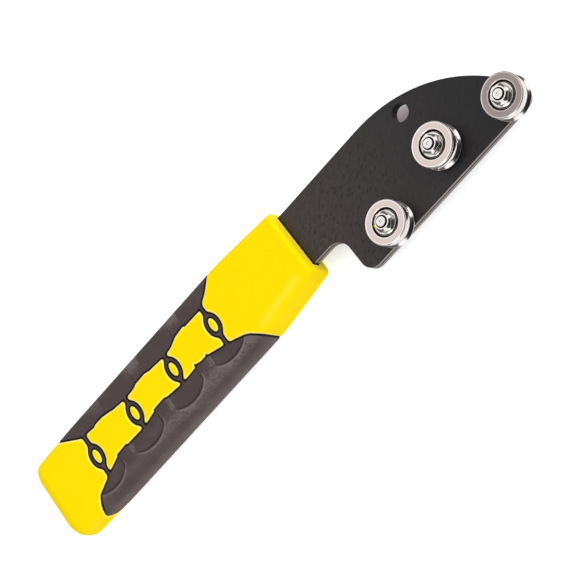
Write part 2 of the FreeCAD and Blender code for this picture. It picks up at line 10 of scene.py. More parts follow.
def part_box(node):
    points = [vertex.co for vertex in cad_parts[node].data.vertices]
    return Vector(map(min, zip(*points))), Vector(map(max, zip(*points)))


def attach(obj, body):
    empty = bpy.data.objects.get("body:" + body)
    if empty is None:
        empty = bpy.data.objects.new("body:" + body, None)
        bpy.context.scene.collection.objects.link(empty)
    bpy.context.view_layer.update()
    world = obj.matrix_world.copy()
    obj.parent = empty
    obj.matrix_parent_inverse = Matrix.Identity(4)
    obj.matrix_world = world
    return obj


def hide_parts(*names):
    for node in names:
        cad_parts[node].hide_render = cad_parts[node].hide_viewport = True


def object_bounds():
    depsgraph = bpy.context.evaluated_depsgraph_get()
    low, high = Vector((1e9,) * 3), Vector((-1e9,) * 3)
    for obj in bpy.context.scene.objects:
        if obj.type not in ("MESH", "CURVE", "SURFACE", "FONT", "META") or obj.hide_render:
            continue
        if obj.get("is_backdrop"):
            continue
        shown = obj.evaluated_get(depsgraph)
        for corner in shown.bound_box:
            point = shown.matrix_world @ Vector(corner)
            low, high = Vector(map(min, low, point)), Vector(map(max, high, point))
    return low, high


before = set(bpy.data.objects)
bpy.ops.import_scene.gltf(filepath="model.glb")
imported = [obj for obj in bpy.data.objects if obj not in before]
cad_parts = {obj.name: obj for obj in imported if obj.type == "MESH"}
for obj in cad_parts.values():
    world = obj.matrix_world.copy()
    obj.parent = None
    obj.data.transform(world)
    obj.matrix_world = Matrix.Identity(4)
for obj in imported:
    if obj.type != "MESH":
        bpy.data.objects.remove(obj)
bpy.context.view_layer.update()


# ---- Camera ----
# The tool is seen from above its roller side, with a long lens, so that the handle runs down to the left
# and the head points up to the right. The picture's right and up directions set how the camera is rolled.
MM = 0.001
CAMERA_PLACE = Vector((226.00, -291.17, 547.23)) * MM
PICTURE_RIGHT = Vector((0.6326, -0.5439, -0.5514)).normalized()
PICTURE_UP = Vector((0.6961, 0.7114, 0.0969)).normalized()
LENS_MM = 143.75
SENSOR_MM = 36.0


def placed(name, data):
    """An object with that data, in the scene."""
    obj = bpy.data.objects.new(name, data)
    bpy.context.scene.collection.objects.link(obj)
    return obj


camera_back = PICTURE_RIGHT.cross(PICTURE_UP)
camera = placed("camera", bpy.data.cameras.new("camera"))
camera.data.lens = LENS_MM
camera.data.sensor_width = SENSOR_MM
camera.data.clip_start = 10 * MM
camera.data.clip_end = 10
turned_so = Matrix((PICTURE_RIGHT, PICTURE_UP, camera_back)).transposed().to_4x4()
camera.matrix_world = Matrix.Translation(CAMERA_PLACE) @ turned_so
bpy.context.scene.camera = camera


# ---- Head plate ----
# A punched 3 mm mild steel plate, powder coated black and baked. The coat is a satin, faintly dimpled skin
# with a few pits where gas came out of it. On the punched edges it is thin, so the steel's warm grey shows
# through on both sides of the line where the punch's cut turned into a break.
def linear(text):
    """An sRGB hex colour as linear RGBA."""
    parts = [int(text[index : index + 2], 16) / 255 for index in (1, 3, 5)]
    return [part / 12.92 if part <= 0.04045 else ((part + 0.055) / 1.055) ** 2.4 for part in parts] + [1]


def connect(node, links):
    """Sets each named socket to a value or a hex colour, or joins it to an output or a node's first one."""
    for key, value in links.items():
        if isinstance(value, str):
            value = linear(value)
        if isinstance(value, bpy.types.Node):
            value = next(output for output in value.outputs if output.enabled)
        if isinstance(value, bpy.types.NodeSocket):
            node.id_data.links.new(value, node.inputs[key])
        else:
            node.inputs[key].default_value = value


def add_node(tree, kind, links=None, **settings):
    """Adds a shader node to a tree, with what its sockets are set or joined to and its own settings."""
    node = tree.nodes.new("ShaderNode" + kind)
    for name, value in settings.items():
        setattr(node, name, value)
    connect(node, links or {})
    return node


def new_material(name, sockets):
    """A material with those sockets set: (material, its shader, what adds its nodes, its coordinates)."""
    material = bpy.data.materials.new(name)
    material.use_nodes = True
    shader = material.node_tree.nodes["Principled BSDF"]
    connect(shader, sockets)
    add = partial(add_node, material.node_tree)
    return material, shader, add, add("TexCoord").outputs


SMOOTH = {"interpolation_type": "SMOOTHSTEP"}  # settings that many nodes share
COLOURS = {"data_type": "RGBA"}  # a Mix node's colours are its sockets 6 and 7, and its numbers 2 and 3
TINTED = {"data_type": "RGBA", "blend_type": "MULTIPLY"}
NOISE_RANGE = {"From Min": 0.3, "From Max": 0.7}  # where most of a noise lies

EDGE_STEEL, EDGE_LINE = "#9C918C", "#1A1615"
EDGE_BANDS = ((0.0, 0.2), (0.55, 0.13), (1.0, 0.07))  # dark lines up the edge: height, half width, as shares
BAND_CORE = 0.6  # this share of a line's half width is wholly dark
HANGING_HOLE = (63.45 * MM, 9.5 * MM, 0)
HOLE_COATED = 3.2 * MM  # the coat is whole this near the hole's axis
SEAM_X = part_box("handle_core")[1].x  # painted shade darkens the plate where it comes out of the handle
SEAM_START, SEAM_END = 0.4 * MM, 0.8 * MM
HANDLED_NONE, HANDLED_MOST = 96 * MM, 8 * MM  # the coat's colour is lighter and browner towards the handle
PEEL_SIZE = 1.1 * MM  # dimples of the baked coat, drawn coarser than real so that they show
MOTTLE_SIZE, PATCH_SIZE = 1.3 * MM, 14 * MM
PIT_SPACING, PIT_RADIUS = 2.3 * MM, 0.5 * MM
PIT_LEAN, PIT_STRETCH = math.radians(42), (1.5, 0.8, 1)

powder_coat, shader, add, coords = new_material(
    "powder coated steel, satin black", {"Roughness": 0.46, "Specular IOR Level": 0.33}
)
peel = add("TexNoise", {"Vector": coords["Object"], "Scale": 1 / PEEL_SIZE, "Detail": 2.0})
drawn_out = add(
    "Mapping",
    {"Vector": coords["Object"], "Rotation": (0, 0, PIT_LEAN), "Scale": PIT_STRETCH},
    vector_type="TEXTURE",
)
pits = add("TexVoronoi", {"Vector": drawn_out, "Scale": 1 / PIT_SPACING}, voronoi_dimensions="2D")
pit_depth = add("MapRange", {"Value": pits, "From Max": PIT_RADIUS / PIT_SPACING}, **SMOOTH)
cloud = add("TexNoise", {"Vector": coords["Object"], "Scale": 1 / PATCH_SIZE, "Detail": 3.0})
pitted = add("MapRange", {"Value": cloud, "From Min": 0.40, "From Max": 0.56}, **SMOOTH)
pit_mask = add("Mix", {0: pitted, 2: 1.0, 3: pit_depth})
bump = add("Bump", {"Strength": 0.10, "Distance": 0.10 * MM, "Height": peel})
dents = add("Bump", {"Strength": 0.7, "Distance": 0.12 * MM, "Height": pit_mask, "Normal": bump})
plate_low, plate_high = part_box("head_plate")
turned_to = add("SeparateXYZ", {0: coords["Normal"]}).outputs
upness = add("Math", {0: turned_to["Z"]}, operation="ABSOLUTE")
edge_mask = add("MapRange", {"Value": upness, "From Min": 0.75, "From Max": 0.25}, **SMOOTH)
spot = add("SeparateXYZ", {0: coords["Object"]}).outputs
plate_top = plate_high.z - plate_low.z
lined = 1.0
for level, half in EDGE_BANDS:
    from_line = add("Math", {0: spot["Z"], 1: plate_low.z + level * plate_top}, operation="SUBTRACT")
    line_distance = add("Math", {0: from_line}, operation="ABSOLUTE")
    beside = add(
        "MapRange",
        {"Value": line_distance, "From Min": BAND_CORE * half * plate_top, "From Max": half * plate_top},
        **SMOOTH,
    )
    lined = add("Math", {0: beside, 1: lined}, operation="MULTIPLY")
from_hole = add(
    "VectorMath",
    {0: coords["Object"], 1: (1, 1, 0), 2: [-part for part in HANGING_HOLE]},
    operation="MULTIPLY_ADD",
)
hole_distance = add("VectorMath", {0: from_hole}, operation="LENGTH")
bared = add("Math", {0: hole_distance, 1: HOLE_COATED}, operation="GREATER_THAN")
edge_colour = add("Mix", {0: lined, 6: EDGE_LINE, 7: EDGE_STEEL}, **COLOURS)
worn = add("MapRange", {"Value": cloud, **NOISE_RANGE, "To Min": 0.75, "To Max": 1.0})
worn_edge = add("Math", {0: edge_mask, 1: worn}, operation="MULTIPLY")
edge_share = add("Math", {0: worn_edge, 1: bared}, operation="MULTIPLY")
handled = add(
    "MapRange",
    {"Value": spot["X"], "From Min": HANDLED_NONE, "From Max": HANDLED_MOST},
    interpolation_type="SMOOTHERSTEP",
)
clean_colour = add("Mix", {0: handled, 6: "#181619", 7: "#372F2E"}, **COLOURS)
mottle = add("TexNoise", {"Vector": drawn_out, "Scale": 1 / MOTTLE_SIZE, "Detail": 2.0})
mottled = add(
    "MapRange", {"Value": mottle, "From Min": 0.35, "From Max": 0.65, "To Min": 0.84, "To Max": 1.16}
)
mottled_colour = add("Mix", {0: 1.0, 6: clean_colour, 7: mottled}, **TINTED)
# Pits are painted darker, as painted shade in them.
coat_colour = add("Mix", {0: pit_mask, 6: "#0B0A0C", 7: mottled_colour}, **COLOURS)
plate_colour = add("Mix", {0: edge_share, 6: coat_colour, 7: edge_colour}, **COLOURS)
# Painted shade: the plate is painted dark just beyond the handle's end, where it comes out of the handle.
past_seam = add(
    "MapRange",
    {"Value": spot["X"], "From Min": SEAM_X + SEAM_START, "From Max": SEAM_X + SEAM_END},
    **SMOOTH,
)
seamed_colour = add("Mix", {0: past_seam, 6: "#140B07", 7: plate_colour}, **COLOURS)
connect(shader, {"Base Color": seamed_colour, "Normal": dents})


def dress(name, material):
    """Gives its material to a piece that keeps the shape it has."""
    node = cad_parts[name]
    node.data.materials.clear()
    node.data.materials.append(material)


dress("head_plate", powder_coat)


# ---- Handle form ----
# The handle is one moulded slab with rounded sides and butt, wide at the grip and drawn in at the collar.
# Its surface is a tube: cross-sections along the tool, each a rounded rectangle. The yellow core and the
# rubber skin are both cut out of this one surface, along the lines of the rubber's pattern.
core_low, core_high = np.array(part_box("handle_core")) / MM
BUTT_X = core_low[0]
AXIS_Y, MIDDLE_Z = (core_low + core_high)[1:] / 2
HANDLE_LENGTH = core_high[0] - core_low[0]
HALF_WIDTH, HALF_THICKNESS = (core_high - core_low)[1:] / 2
COLLAR_LOW, COLLAR_HIGH = 11.25, 11.85  # from the axis to the collar's sides, roller side first
COLLAR_LENGTH = 22.0
TAPER_RADIUS = 80.0
SIDE_RADIUS = 3.5
BUTT_LOW_RADIUS, BUTT_HIGH_RADIUS = 3.7, 4.1
BUTT_END_RADIUS = 4.45  # rounding of the butt's end face
BUTT_SOFTENING = 22.0  # the sides grow rounder over this much, up to the butt
COLLAR_RIM, COLLAR_SLOPE = 0.5, 1.3  # rounding of the collar's end, across and in thickness
CELL = 0.3  # grid spacing round the handle
GRIP_CELL, PLAIN_CELL = 0.33, 0.6  # and along it, where the rubber is and elsewhere
GRIP_START, GRIP_END = 9.5, 90.0
CAP_RINGS, RIM_STEPS = 24, 16
FIRST_TURN = 0.02  # radians round the butt's end to the first section


def side_line(along, collar_half, butt_radius):
    """One side's distance from the axis: a quarter circle at the butt, then constant, then a circular blend
    of radius R, d = HALF_WIDTH - run^2 / 2R, then a straight taper to the collar."""
    slope = (HALF_WIDTH - collar_half) / COLLAR_LENGTH
    blend = slope * TAPER_RADIUS
    run = along - (HANDLE_LENGTH - COLLAR_LENGTH - blend / 2)
    taper = np.clip(run, 0, blend) ** 2 / (2 * TAPER_RADIUS) + slope * np.maximum(run - blend, 0)
    to_corner = np.clip(butt_radius - along, 0, None)
    return HALF_WIDTH - taper - butt_radius + np.sqrt(butt_radius**2 - to_corner**2)


def sections():
    """Places along the handle, with each section's middle, half width, half height and corner radius.

    The height falls off at each end as a quarter circle of that end's radius, and so does the width at the
    collar. Near the butt the corner radius grows as a smooth step towards the end face's radius."""
    turn = np.linspace(FIRST_TURN, np.pi / 2, round(BUTT_END_RADIUS * np.pi / 2 / CELL))
    butt = BUTT_END_RADIUS * (1 - np.cos(turn))
    rim = HANDLE_LENGTH - COLLAR_SLOPE * np.cos(np.linspace(0, np.pi / 2, RIM_STEPS))
    middle = [
        np.linspace(start, end, round((end - start) / cell), endpoint=False)
        for start, end, cell in (
            (butt[-1], GRIP_START, PLAIN_CELL),
            (GRIP_START, GRIP_END, GRIP_CELL),
            (GRIP_END, rim[0], PLAIN_CELL),
        )
    ]
    along = np.concatenate([butt[:-1], *middle, rim])

    def fall(distance, radius):
        inside = np.clip(radius - distance, 0, radius)
        return radius - np.sqrt(radius**2 - inside**2)

    to_collar = HANDLE_LENGTH - along
    height = HALF_THICKNESS - fall(along, BUTT_END_RADIUS) - fall(to_collar, COLLAR_SLOPE)
    soft = np.clip(1 - along / BUTT_SOFTENING, 0, 1)
    soft = soft**2 * (3 - 2 * soft)
    radius = np.minimum(SIDE_RADIUS + (BUTT_END_RADIUS - SIDE_RADIUS) * soft, height)
    narrowed = fall(to_collar, COLLAR_RIM)
    low = narrowed - side_line(along, COLLAR_LOW, BUTT_LOW_RADIUS)
    high = side_line(along, COLLAR_HIGH, BUTT_HIGH_RADIUS) - narrowed
    return along, (high + low) / 2, (high - low) / 2, height, radius


def loop_directions():
    """Once round a section: a point's place on the flat core (-1 to 1) and the way it is offset from it."""
    flat = np.linspace(-1, 1, round(2 * (HALF_WIDTH - SIDE_RADIUS) / CELL) + 1)
    side = np.linspace(1, -1, round(2 * (HALF_THICKNESS - SIDE_RADIUS) / CELL) + 1)
    turn = np.linspace(np.pi / 2, 0, round(SIDE_RADIUS * np.pi / 2 / CELL) + 1)[1:-1]
    top = np.broadcast_arrays(flat, 1, 0, 1)
    quarter = np.broadcast_arrays(1, 1, np.cos(turn), np.sin(turn))
    edge = np.broadcast_arrays(1, side, 1, 0)
    falling = np.broadcast_arrays(1, -1, np.cos(turn)[::-1], -np.sin(turn)[::-1])
    half = np.hstack([top, quarter, edge, falling])
    return np.hstack([half, -half])


along, section_middle, section_half, section_height, corner = [part[:, None] for part in sections()]
core_y, core_z, offset_y, offset_z = loop_directions()
form_y = section_middle + (section_half - corner) * core_y + corner * offset_y
form_z = (section_height - corner) * core_z + corner * offset_z
form = np.stack(np.broadcast_arrays(along, form_y, form_z), axis=-1)
shares = np.linspace(1, 0, CAP_RINGS + 1)[1:, None, None]
caps = []
for end in (0, -1):
    centre = np.array([along[end, 0], section_middle[end, 0], 0])
    caps.append(centre + (form[end] - centre) * shares)
form = np.concatenate([caps[0][::-1], form, caps[1]])


# ---- Grip pattern ----
# In plan the rubber is a finger strip, a back strip, and four small eyelets whose straps tie the strips
# together. The pattern is a signed distance in millimetres: positive in the rubber, negative in the yellow.
# Every bay between two eyelets has its own small steps, as the mould's hand-cut edges have.
eyelet_x = 22.8 + 18.45 * np.arange(4)
EYELET_Y = (-0.8, -0.5, -0.3, -0.2)
EYELET_HALF_WIDTH, EYELET_HALF_HEIGHT = 2.55, 4.15
WINDOW_HALF_WIDTH, WINDOW_HALF_HEIGHT = 1.3, 2.55
STRAP_HALF = 0.7
FILLET = 0.9  # the straps flare into the eyelets and the strips over this much
FINGER_AT_EYELET = (-7.8, -6.0, -5.75, -7.7)
FINGER_BAYS = (  # corners of the strip's edge, from the bay's rear eyelet and from the axis
    ((5.7, -6.0), (5.75, -5.5), (10.2, -5.3), (10.4, -5.75)),
    ((4.8, -5.15), (5.65, -5.0), (5.7, -4.5), (10.3, -4.4), (11.8, -4.95)),
    ((6.05, -5.4), (6.15, -4.4), (6.85, -4.9), (8.4, -5.35), (10.85, -5.4), (11.05, -4.9), (11.5, -5.6)),
)
BACK_AT_EYELET = (7.1, 5.2, 4.95, 6.75)
BACK_BAYS = (
    ((4.55, 6.6), (5.45, 7.0), (8.75, 6.9), (10.75, 6.5), (13.25, 5.8)),
    ((3.3, 5.3), (4.8, 5.6), (5.3, 5.95), (9.8, 6.1), (11.8, 5.5)),
    ((3.35, 5.3), (6.35, 6.6), (9.85, 7.0), (10.6, 6.9), (10.85, 6.5), (16.85, 6.4)),
)
FINGER_REAR = ((13.4, -14.2), (13.5, -13.4), (14.2, -12.7), (15.25, -11.8), (16.6, -10.4), (21.55, -8.4))
FINGER_FRONT = ((81.05, -8.7), (84.05, -9.95), (85.55, -10.9), (88.3, -13.65), (88.3, -14.2))
BACK_REAR = ((13.2, 14.2), (13.2, 13.4), (17.05, 10.4), (21.25, 7.6))
BACK_FRONT = ((81.55, 8.8), (83.05, 9.9), (84.3, 11.1), (85.1, 12.3), (85.5, 13.4), (85.5, 14.2))
NOSE_REACH, NOSE_HALF = 2.3, 5.6  # the strip's end bulges towards the butt on the side wall
NOSE_FULL, NOSE_GONE = 20.0, 30.0
STRAP_INTO = 0.5  # straps run this far into the strips


def ramp(value, start, end):
    """A straight rise from 0 at the start to 1 at the end, level outside them."""
    return np.clip((value - start) / (end - start), 0, 1)


def strip_corners(rear, at_eyelet, bays, front, far):
    """A strip's closed outline: rear end, edge past the eyelets and bays, front end, and back."""
    corners = [(rear[0][0], far), *rear]
    for x, y, bay in zip(eyelet_x, at_eyelet, (*bays, ())):
        corners += [(x, y)] + [(x + step, height) for step, height in bay]
    return np.array(corners + [*front, (front[-1][0], far)])


def polygon_distance(corners, x, y):
    """Distance to a closed polygon's nearest side, positive inside it by the even-odd rule."""
    nearest = np.full(x.shape, np.inf)
    inside = np.zeros(x.shape, bool)
    for start, end in zip(corners, np.roll(corners, -1, axis=0)):
        side = end - start
        share = ramp((x - start[0]) * side[0] + (y - start[1]) * side[1], 0, side @ side)
        from_side = np.hypot(x - start[0] - share * side[0], y - start[1] - share * side[1])
        nearest = np.minimum(nearest, from_side)
        crossing = (start[1] > y) != (end[1] > y)
        rise = side[1] if side[1] else 1.0
        inside ^= crossing & (x < start[0] + (y - start[1]) * side[0] / rise)
    return np.where(inside, nearest, -nearest)


def oval_distance(x, y, half_x, half_y):
    """Near distance to an upright oval: the ellipse function over its slope."""
    level = np.hypot(x / half_x, y / half_y)
    slope = np.hypot(x / half_x**2, y / half_y**2) / np.maximum(level, 1e-6)
    return (1 - level) / np.maximum(slope, 1e-3)


def fused(first, second):
    """The union of two distances with a fillet: max(a, b) + h^2 r / 4, where h = 1 - |a - b| / r."""
    overlap = np.clip(1 - np.abs(first - second) / FILLET, 0, 1)
    return np.maximum(first, second) + overlap**2 * FILLET / 4


def rubber_distance(points):
    """Signed distance of the whole pattern: strips, straps and ovals joined, the ovals' windows cut out.

    The finger strip's rear end is moved by a hump in z, NOSE_REACH cos^2(pi z / 2 NOSE_HALF)."""
    x, y, z = np.moveaxis(points, -1, 0)
    nose = NOSE_REACH * np.cos(np.pi / 2 * np.clip(np.abs(z) / NOSE_HALF, 0, 1)) ** 2 * (y < 0)
    nose *= ramp(x, NOSE_GONE, NOSE_FULL)
    far = 2 * HALF_WIDTH
    finger = strip_corners(FINGER_REAR, FINGER_AT_EYELET, FINGER_BAYS, FINGER_FRONT, -far)
    back = strip_corners(BACK_REAR, BACK_AT_EYELET, BACK_BAYS, BACK_FRONT, far)
    joined = np.maximum(polygon_distance(finger, x + nose, y), polygon_distance(back, x, y))
    windows = np.full(x.shape, -np.inf)
    for eyelet, centre, low, high in zip(eyelet_x, EYELET_Y, FINGER_AT_EYELET, BACK_AT_EYELET):
        strap = np.minimum(high + STRAP_INTO - y, y - low + STRAP_INTO)
        strap = np.minimum(STRAP_HALF - np.abs(x - eyelet), strap)
        oval = oval_distance(x - eyelet, y - centre, EYELET_HALF_WIDTH, EYELET_HALF_HEIGHT)
        window = oval_distance(x - eyelet, y - centre, WINDOW_HALF_WIDTH, WINDOW_HALF_HEIGHT)
        joined = fused(joined, fused(oval, strap))
        windows = np.maximum(windows, window)
    return np.minimum(joined, -windows)


def snap_to_border(points, level):
    """Slides each grid point that is within half a cell of a border onto it, along a grid line."""
    best = np.full(level.shape, 0.5)
    moved = points.copy()
    snapped = level.copy()
    for axis, step in ((0, 1), (0, -1), (1, 1), (1, -1)):
        other = np.roll(level, step, axis)
        share = level / np.where(level == other, 1, level - other)
        near = (level * other < 0) & (share < best)
        if axis == 0:
            near[0 if step == 1 else -1] = False
        best = np.where(near, share, best)
        target = points + share[..., None] * (np.roll(points, step, axis) - points)
        moved[near] = target[near]
        snapped[near] = 0
    return moved, snapped


def grid_triangles(level):
    """Two triangles for each cell, cut along the diagonal that doesn't cross the border."""
    rows, columns = level.shape
    number = np.arange(rows * columns).reshape(rows, columns)
    nxt = np.roll(number, -1, axis=1)
    a, b, c, d = [item.ravel() for item in (number[:-1], number[1:], nxt[1:], nxt[:-1])]
    values = level.ravel()
    first = values[a] * values[c] < 0
    one = np.where(first[:, None], np.stack([a, b, d], 1), np.stack([a, b, c], 1))
    two = np.where(first[:, None], np.stack([b, c, d], 1), np.stack([a, c, d], 1))
    return np.concatenate([one, two])


def unit_normals(points):
    """Outward unit normals of a grid, from the cross product of its two central differences."""
    lengthwise = np.gradient(points, axis=0)
    around = np.roll(points, -1, axis=1) - np.roll(points, 1, axis=1)
    normal = np.cross(lengthwise, around)
    return normal / np.maximum(np.linalg.norm(normal, axis=-1, keepdims=True), 1e-12)


level = rubber_distance(form)
normals = unit_normals(form)
normals[: CAP_RINGS - 1] = (-1, 0, 0)
normals[-CAP_RINGS + 1 :] = (1, 0, 0)
surface, level = snap_to_border(form, level)
triangles = grid_triangles(level)
is_rubber = rubber_distance(surface.reshape(-1, 3)[triangles].mean(axis=1)) > 0

# Relief: both materials roll down into a fine groove along their border. The rubber is dished into a pad
# at each eyelet's two ends, and on the finger side a pair of thin ribs stands behind a pad. The mould's
# parting line runs round the sides.
GROOVE_DEPTH, GROOVE_HALF = 0.30, 0.22
PAD_BACK = 0.4  # pads are centred this far behind their eyelets
PAD_HALF = 6.5
PAD_STRAIGHT, PAD_END = 8.9, 12.05  # from the axis: where a pad's sides start to close in, and where it ends
PAD_DEPTH, PAD_EDGE = 0.30, 0.45
RIBS = (-7.75, -6.9)  # from the eyelet
RIB_END, RIB_FADE, RIB_HEIGHT, RIB_HALF = 9.4, 0.5, 0.12, 0.17
RELIEF_NONE, RELIEF_WHOLE = 0.3, 0.7  # inside the rubber's border
PARTING_DEPTH = 0.03
GRIP_DEPTH = 1.6


def pad_distance(x, y):
    """Distance inside the nearest pad: straight sides, closed by a half ellipse."""
    beyond = np.clip(np.abs(y) - PAD_STRAIGHT, 0, None)
    nearest = np.full(x.shape, -np.inf)
    for eyelet in eyelet_x:
        offset = x - eyelet + PAD_BACK
        oval = oval_distance(offset, beyond, PAD_HALF, PAD_END - PAD_STRAIGHT)
        inside = np.where(beyond > 0, oval, PAD_HALF - np.abs(offset))
        nearest = np.maximum(nearest, inside)
    return nearest


def rib_share(x, y):
    """One on a rib's line, falling as exp(-(distance / RIB_HALF)^2) beside it."""
    share = np.zeros(x.shape)
    for eyelet in eyelet_x[1:]:
        for rib in RIBS:
            share = np.maximum(share, np.exp(-(((x - eyelet - rib) / RIB_HALF) ** 2)))
    return share * ramp(y, -RIB_END, -RIB_END + RIB_FADE) * (y < 0)


x, y, z = np.moveaxis(surface, -1, 0)
in_rubber = ramp(level, RELIEF_NONE, RELIEF_WHOLE)
pad = pad_distance(x, y)
pad_share = ramp(pad, 0, PAD_EDGE)
ribs = rib_share(x, y) * in_rubber
relief = -GROOVE_DEPTH * np.exp(-((level / GROOVE_HALF) ** 2))
relief -= PAD_DEPTH * pad_share**2 * (3 - 2 * pad_share) * in_rubber
relief += RIB_HEIGHT * ribs
relief -= PARTING_DEPTH * (np.abs(z) < CELL / 2) * (level <= 0)
outside = surface + np.minimum(relief, 0)[..., None] * normals


def to_row(points):
    """Points of the handle's own frame, in millimetres, as points of the row in metres."""
    return (points.reshape(-1, 3) + [BUTT_X, AXIS_Y, MIDDLE_Z]) * MM


def new_piece(name, points, faces, body, material, attributes=None):
    """A smooth mesh object from points in metres, faces and numbers at the points, riding on a body."""
    mesh = bpy.data.meshes.new(name)
    mesh.from_pydata(points, [], faces)
    for key, values in (attributes or {}).items():
        mesh.attributes.new(key, "FLOAT", "POINT").data.foreach_set("value", np.ravel(values))
    obj = placed(name, mesh)
    mesh.materials.append(material)
    mesh.shade_smooth()
    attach(obj, body)
    return obj


def merged(obj, distance):
    """Merges points closer than a distance, which closes seams and poles, and drops faces that vanish."""
    work = bmesh.new()
    work.from_mesh(obj.data)
    bmesh.ops.remove_doubles(work, verts=work.verts, dist=distance)
    bmesh.ops.dissolve_degenerate(work, edges=work.edges, dist=distance)
    work.to_mesh(obj.data)
    work.free()


def used_only(points, faces, *values):
    """Drops the points that no face uses. A value is 0 at the points past the end of its list."""
    keep, faces = np.unique(faces, return_inverse=True)
    values = [np.pad(value.ravel(), (0, len(points) - value.size))[keep] for value in values]
    return points[keep], faces.reshape(-1, 3), values


def border_edges(mine, theirs):
    """The directed edges of my triangles whose reverse belongs to their triangles."""
    forward, back = [
        np.concatenate([faces[:, pair] for pair in ([0, 1], [1, 2], [2, 0])]) for faces in (mine, theirs)
    ]
    count = max(mine.max(), theirs.max()) + 1
    return forward[np.isin(forward[:, 0] * count + forward[:, 1], back[:, 1] * count + back[:, 0])]


def walls(border, offset):
    """Two triangles under each border edge, down to the same points numbered offset higher."""
    a, b = border.T
    return np.concatenate([np.stack([b, a, a + offset], 1), np.stack([b, a + offset, b + offset], 1)])


# ---- Handle core ----
# The yellow handle is moulded round the plate's tang in a hard, half-gloss plastic. Where the rubber goes
# it is stepped down by the rubber's thickness, and its edge there is rounded, with a painted highlight along
# it and painted shade in the groove beside it.
handle_plastic, shader, add, coords = new_material(
    "polypropylene, half-gloss yellow", {"Roughness": 0.40, "Specular IOR Level": 0.03}
)
seam = add("Attribute", attribute_name="border").outputs["Fac"]
# Painted shade: the yellow is painted dark in the groove along the rubber's border, and round the plate at
# the collar's end.
seam_mask = add("MapRange", {"Value": seam, "From Min": 0.10, "From Max": 0.28}, **SMOOTH)
# Painted highlight: a pale line along the yellow's rounded edge beside the groove.
shine_mask = add("MapRange", {"Value": seam, "From Min": 0.86, "From Max": 0.34, "To Max": 0.8}, **SMOOTH)
cloud = add("TexNoise", {"Vector": coords["Object"], "Scale": 1 / (22 * MM), "Detail": 2.0})
body_colour = add("Mix", {0: cloud, 6: "#FEDE00", 7: "#FFE100"}, **COLOURS)
# Painted highlight: a paler streak along the collar's low rounding, and a paler end face.
melt_line = add("Attribute", attribute_name="flow").outputs["Fac"]
flowed = add("Mix", {0: melt_line, 6: body_colour, 7: "#FEE32E"}, **COLOURS)
edge_colour = add("Mix", {0: shine_mask, 6: flowed, 7: "#FFF08A"}, **COLOURS)
core_colour = add("Mix", {0: seam_mask, 6: "#3A2A08", 7: edge_colour}, **COLOURS)
grain = add("TexNoise", {"Vector": coords["Object"], "Scale": 1 / (0.5 * MM), "Detail": 2.0})
grain_bump = add("Bump", {"Strength": 0.12, "Distance": 0.03 * MM, "Height": grain})
connect(shader, {"Base Color": core_colour, "Normal": grain_bump})

# Way round each section from the axis: about 10 mm on the flats, to 16 mm on the roundings, then the walls.
flat_half = HALF_WIDTH - SIDE_RADIUS
wall_half = HALF_THICKNESS - SIDE_RADIUS
is_wall = offset_z == 0
way_round = flat_half * np.abs(core_y) + SIDE_RADIUS * np.arctan2(np.abs(offset_y), np.abs(offset_z))
way_round = way_round + is_wall * wall_half * (1 - core_z)
FLOW_LINE, FLOW_HALF = 11.8, 1.1  # a painted highlight: a paler line along the collar's low rounding
FLOW_START, FLOW_END, FLOW_FADE = 88.5, 109.0, 3.0
END_FLOW = 0.8  # the collar's end face is painted paler too, as painted light
END_FACE = 0.01  # points this near the end are on its face
flow = np.exp(-(((way_round - FLOW_LINE) / FLOW_HALF) ** 2)) * (core_y < 0)
flow = flow * ramp(x, FLOW_START, FLOW_START + FLOW_FADE) * ramp(x, FLOW_END, FLOW_END - FLOW_FADE)
yellow_faces, rubber_faces = triangles[~is_rubber], triangles[is_rubber]
pocket = surface - GRIP_DEPTH * normals
points = to_row(np.stack([outside, pocket]))
border = border_edges(yellow_faces, rubber_faces)
total = outside[..., 0].size
faces = np.concatenate([yellow_faces, rubber_faces + total, walls(border, total)])
NECK_LOW, NECK_HIGH, NECK_HALF = -8.35, 10.25, 1.5  # the plate, where it comes out of the collar's end
to_plate = np.hypot(
    np.maximum(np.maximum(NECK_LOW - y, y - NECK_HIGH), 0), np.maximum(np.abs(z) - NECK_HALF, 0)
)
at_end = x > HANDLE_LENGTH - END_FACE
# At the collar's end the border mark is the distance to the plate, so painted shade rings the plate where it
# comes out.
depth = np.where(at_end, to_plate, -level)
flow = np.where(at_end, END_FLOW, flow)
points, faces, (depth, flow) = used_only(points, faces, depth, flow)
core = new_piece(
    "handle_core_moulding", points, faces, "root", handle_plastic, {"border": depth, "flow": flow}
)
merged(core, 1e-7)
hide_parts("handle_core")


# ---- Grip ----
# The grip is soft thermoplastic rubber, warm dark grey and matte, moulded over the core. It has a fine
# stipple on the bands that the fingers cross, and is smooth in the pads and on the thin straps. Along a
# pad's edge a dark line is painted as shade in the crease, with a painted highlight just outside it. The
# skin's tone is painted lighter and darker by where it lies round the section, as painted light and shade.
LIP_OUT, CREASE_IN, LINE_HALF = 0.42, 0.15, 0.42  # middles of the painted highlight and of the painted crease shade, from a pad's edge, and their half width
SKIN_MARKS = ("border", "tone", "stipple", "pad", "lip", "rib")  # numbers stored at the skin's points
rubber, shader, add, coords = new_material(
    "thermoplastic rubber, warm grey", {"Roughness": 0.62, "Specular IOR Level": 0.25}
)
seam, skin_tone, stippled, pad_depth, lipped, ribbed = [
    add("Attribute", attribute_name=name).outputs["Fac"] for name in SKIN_MARKS
]
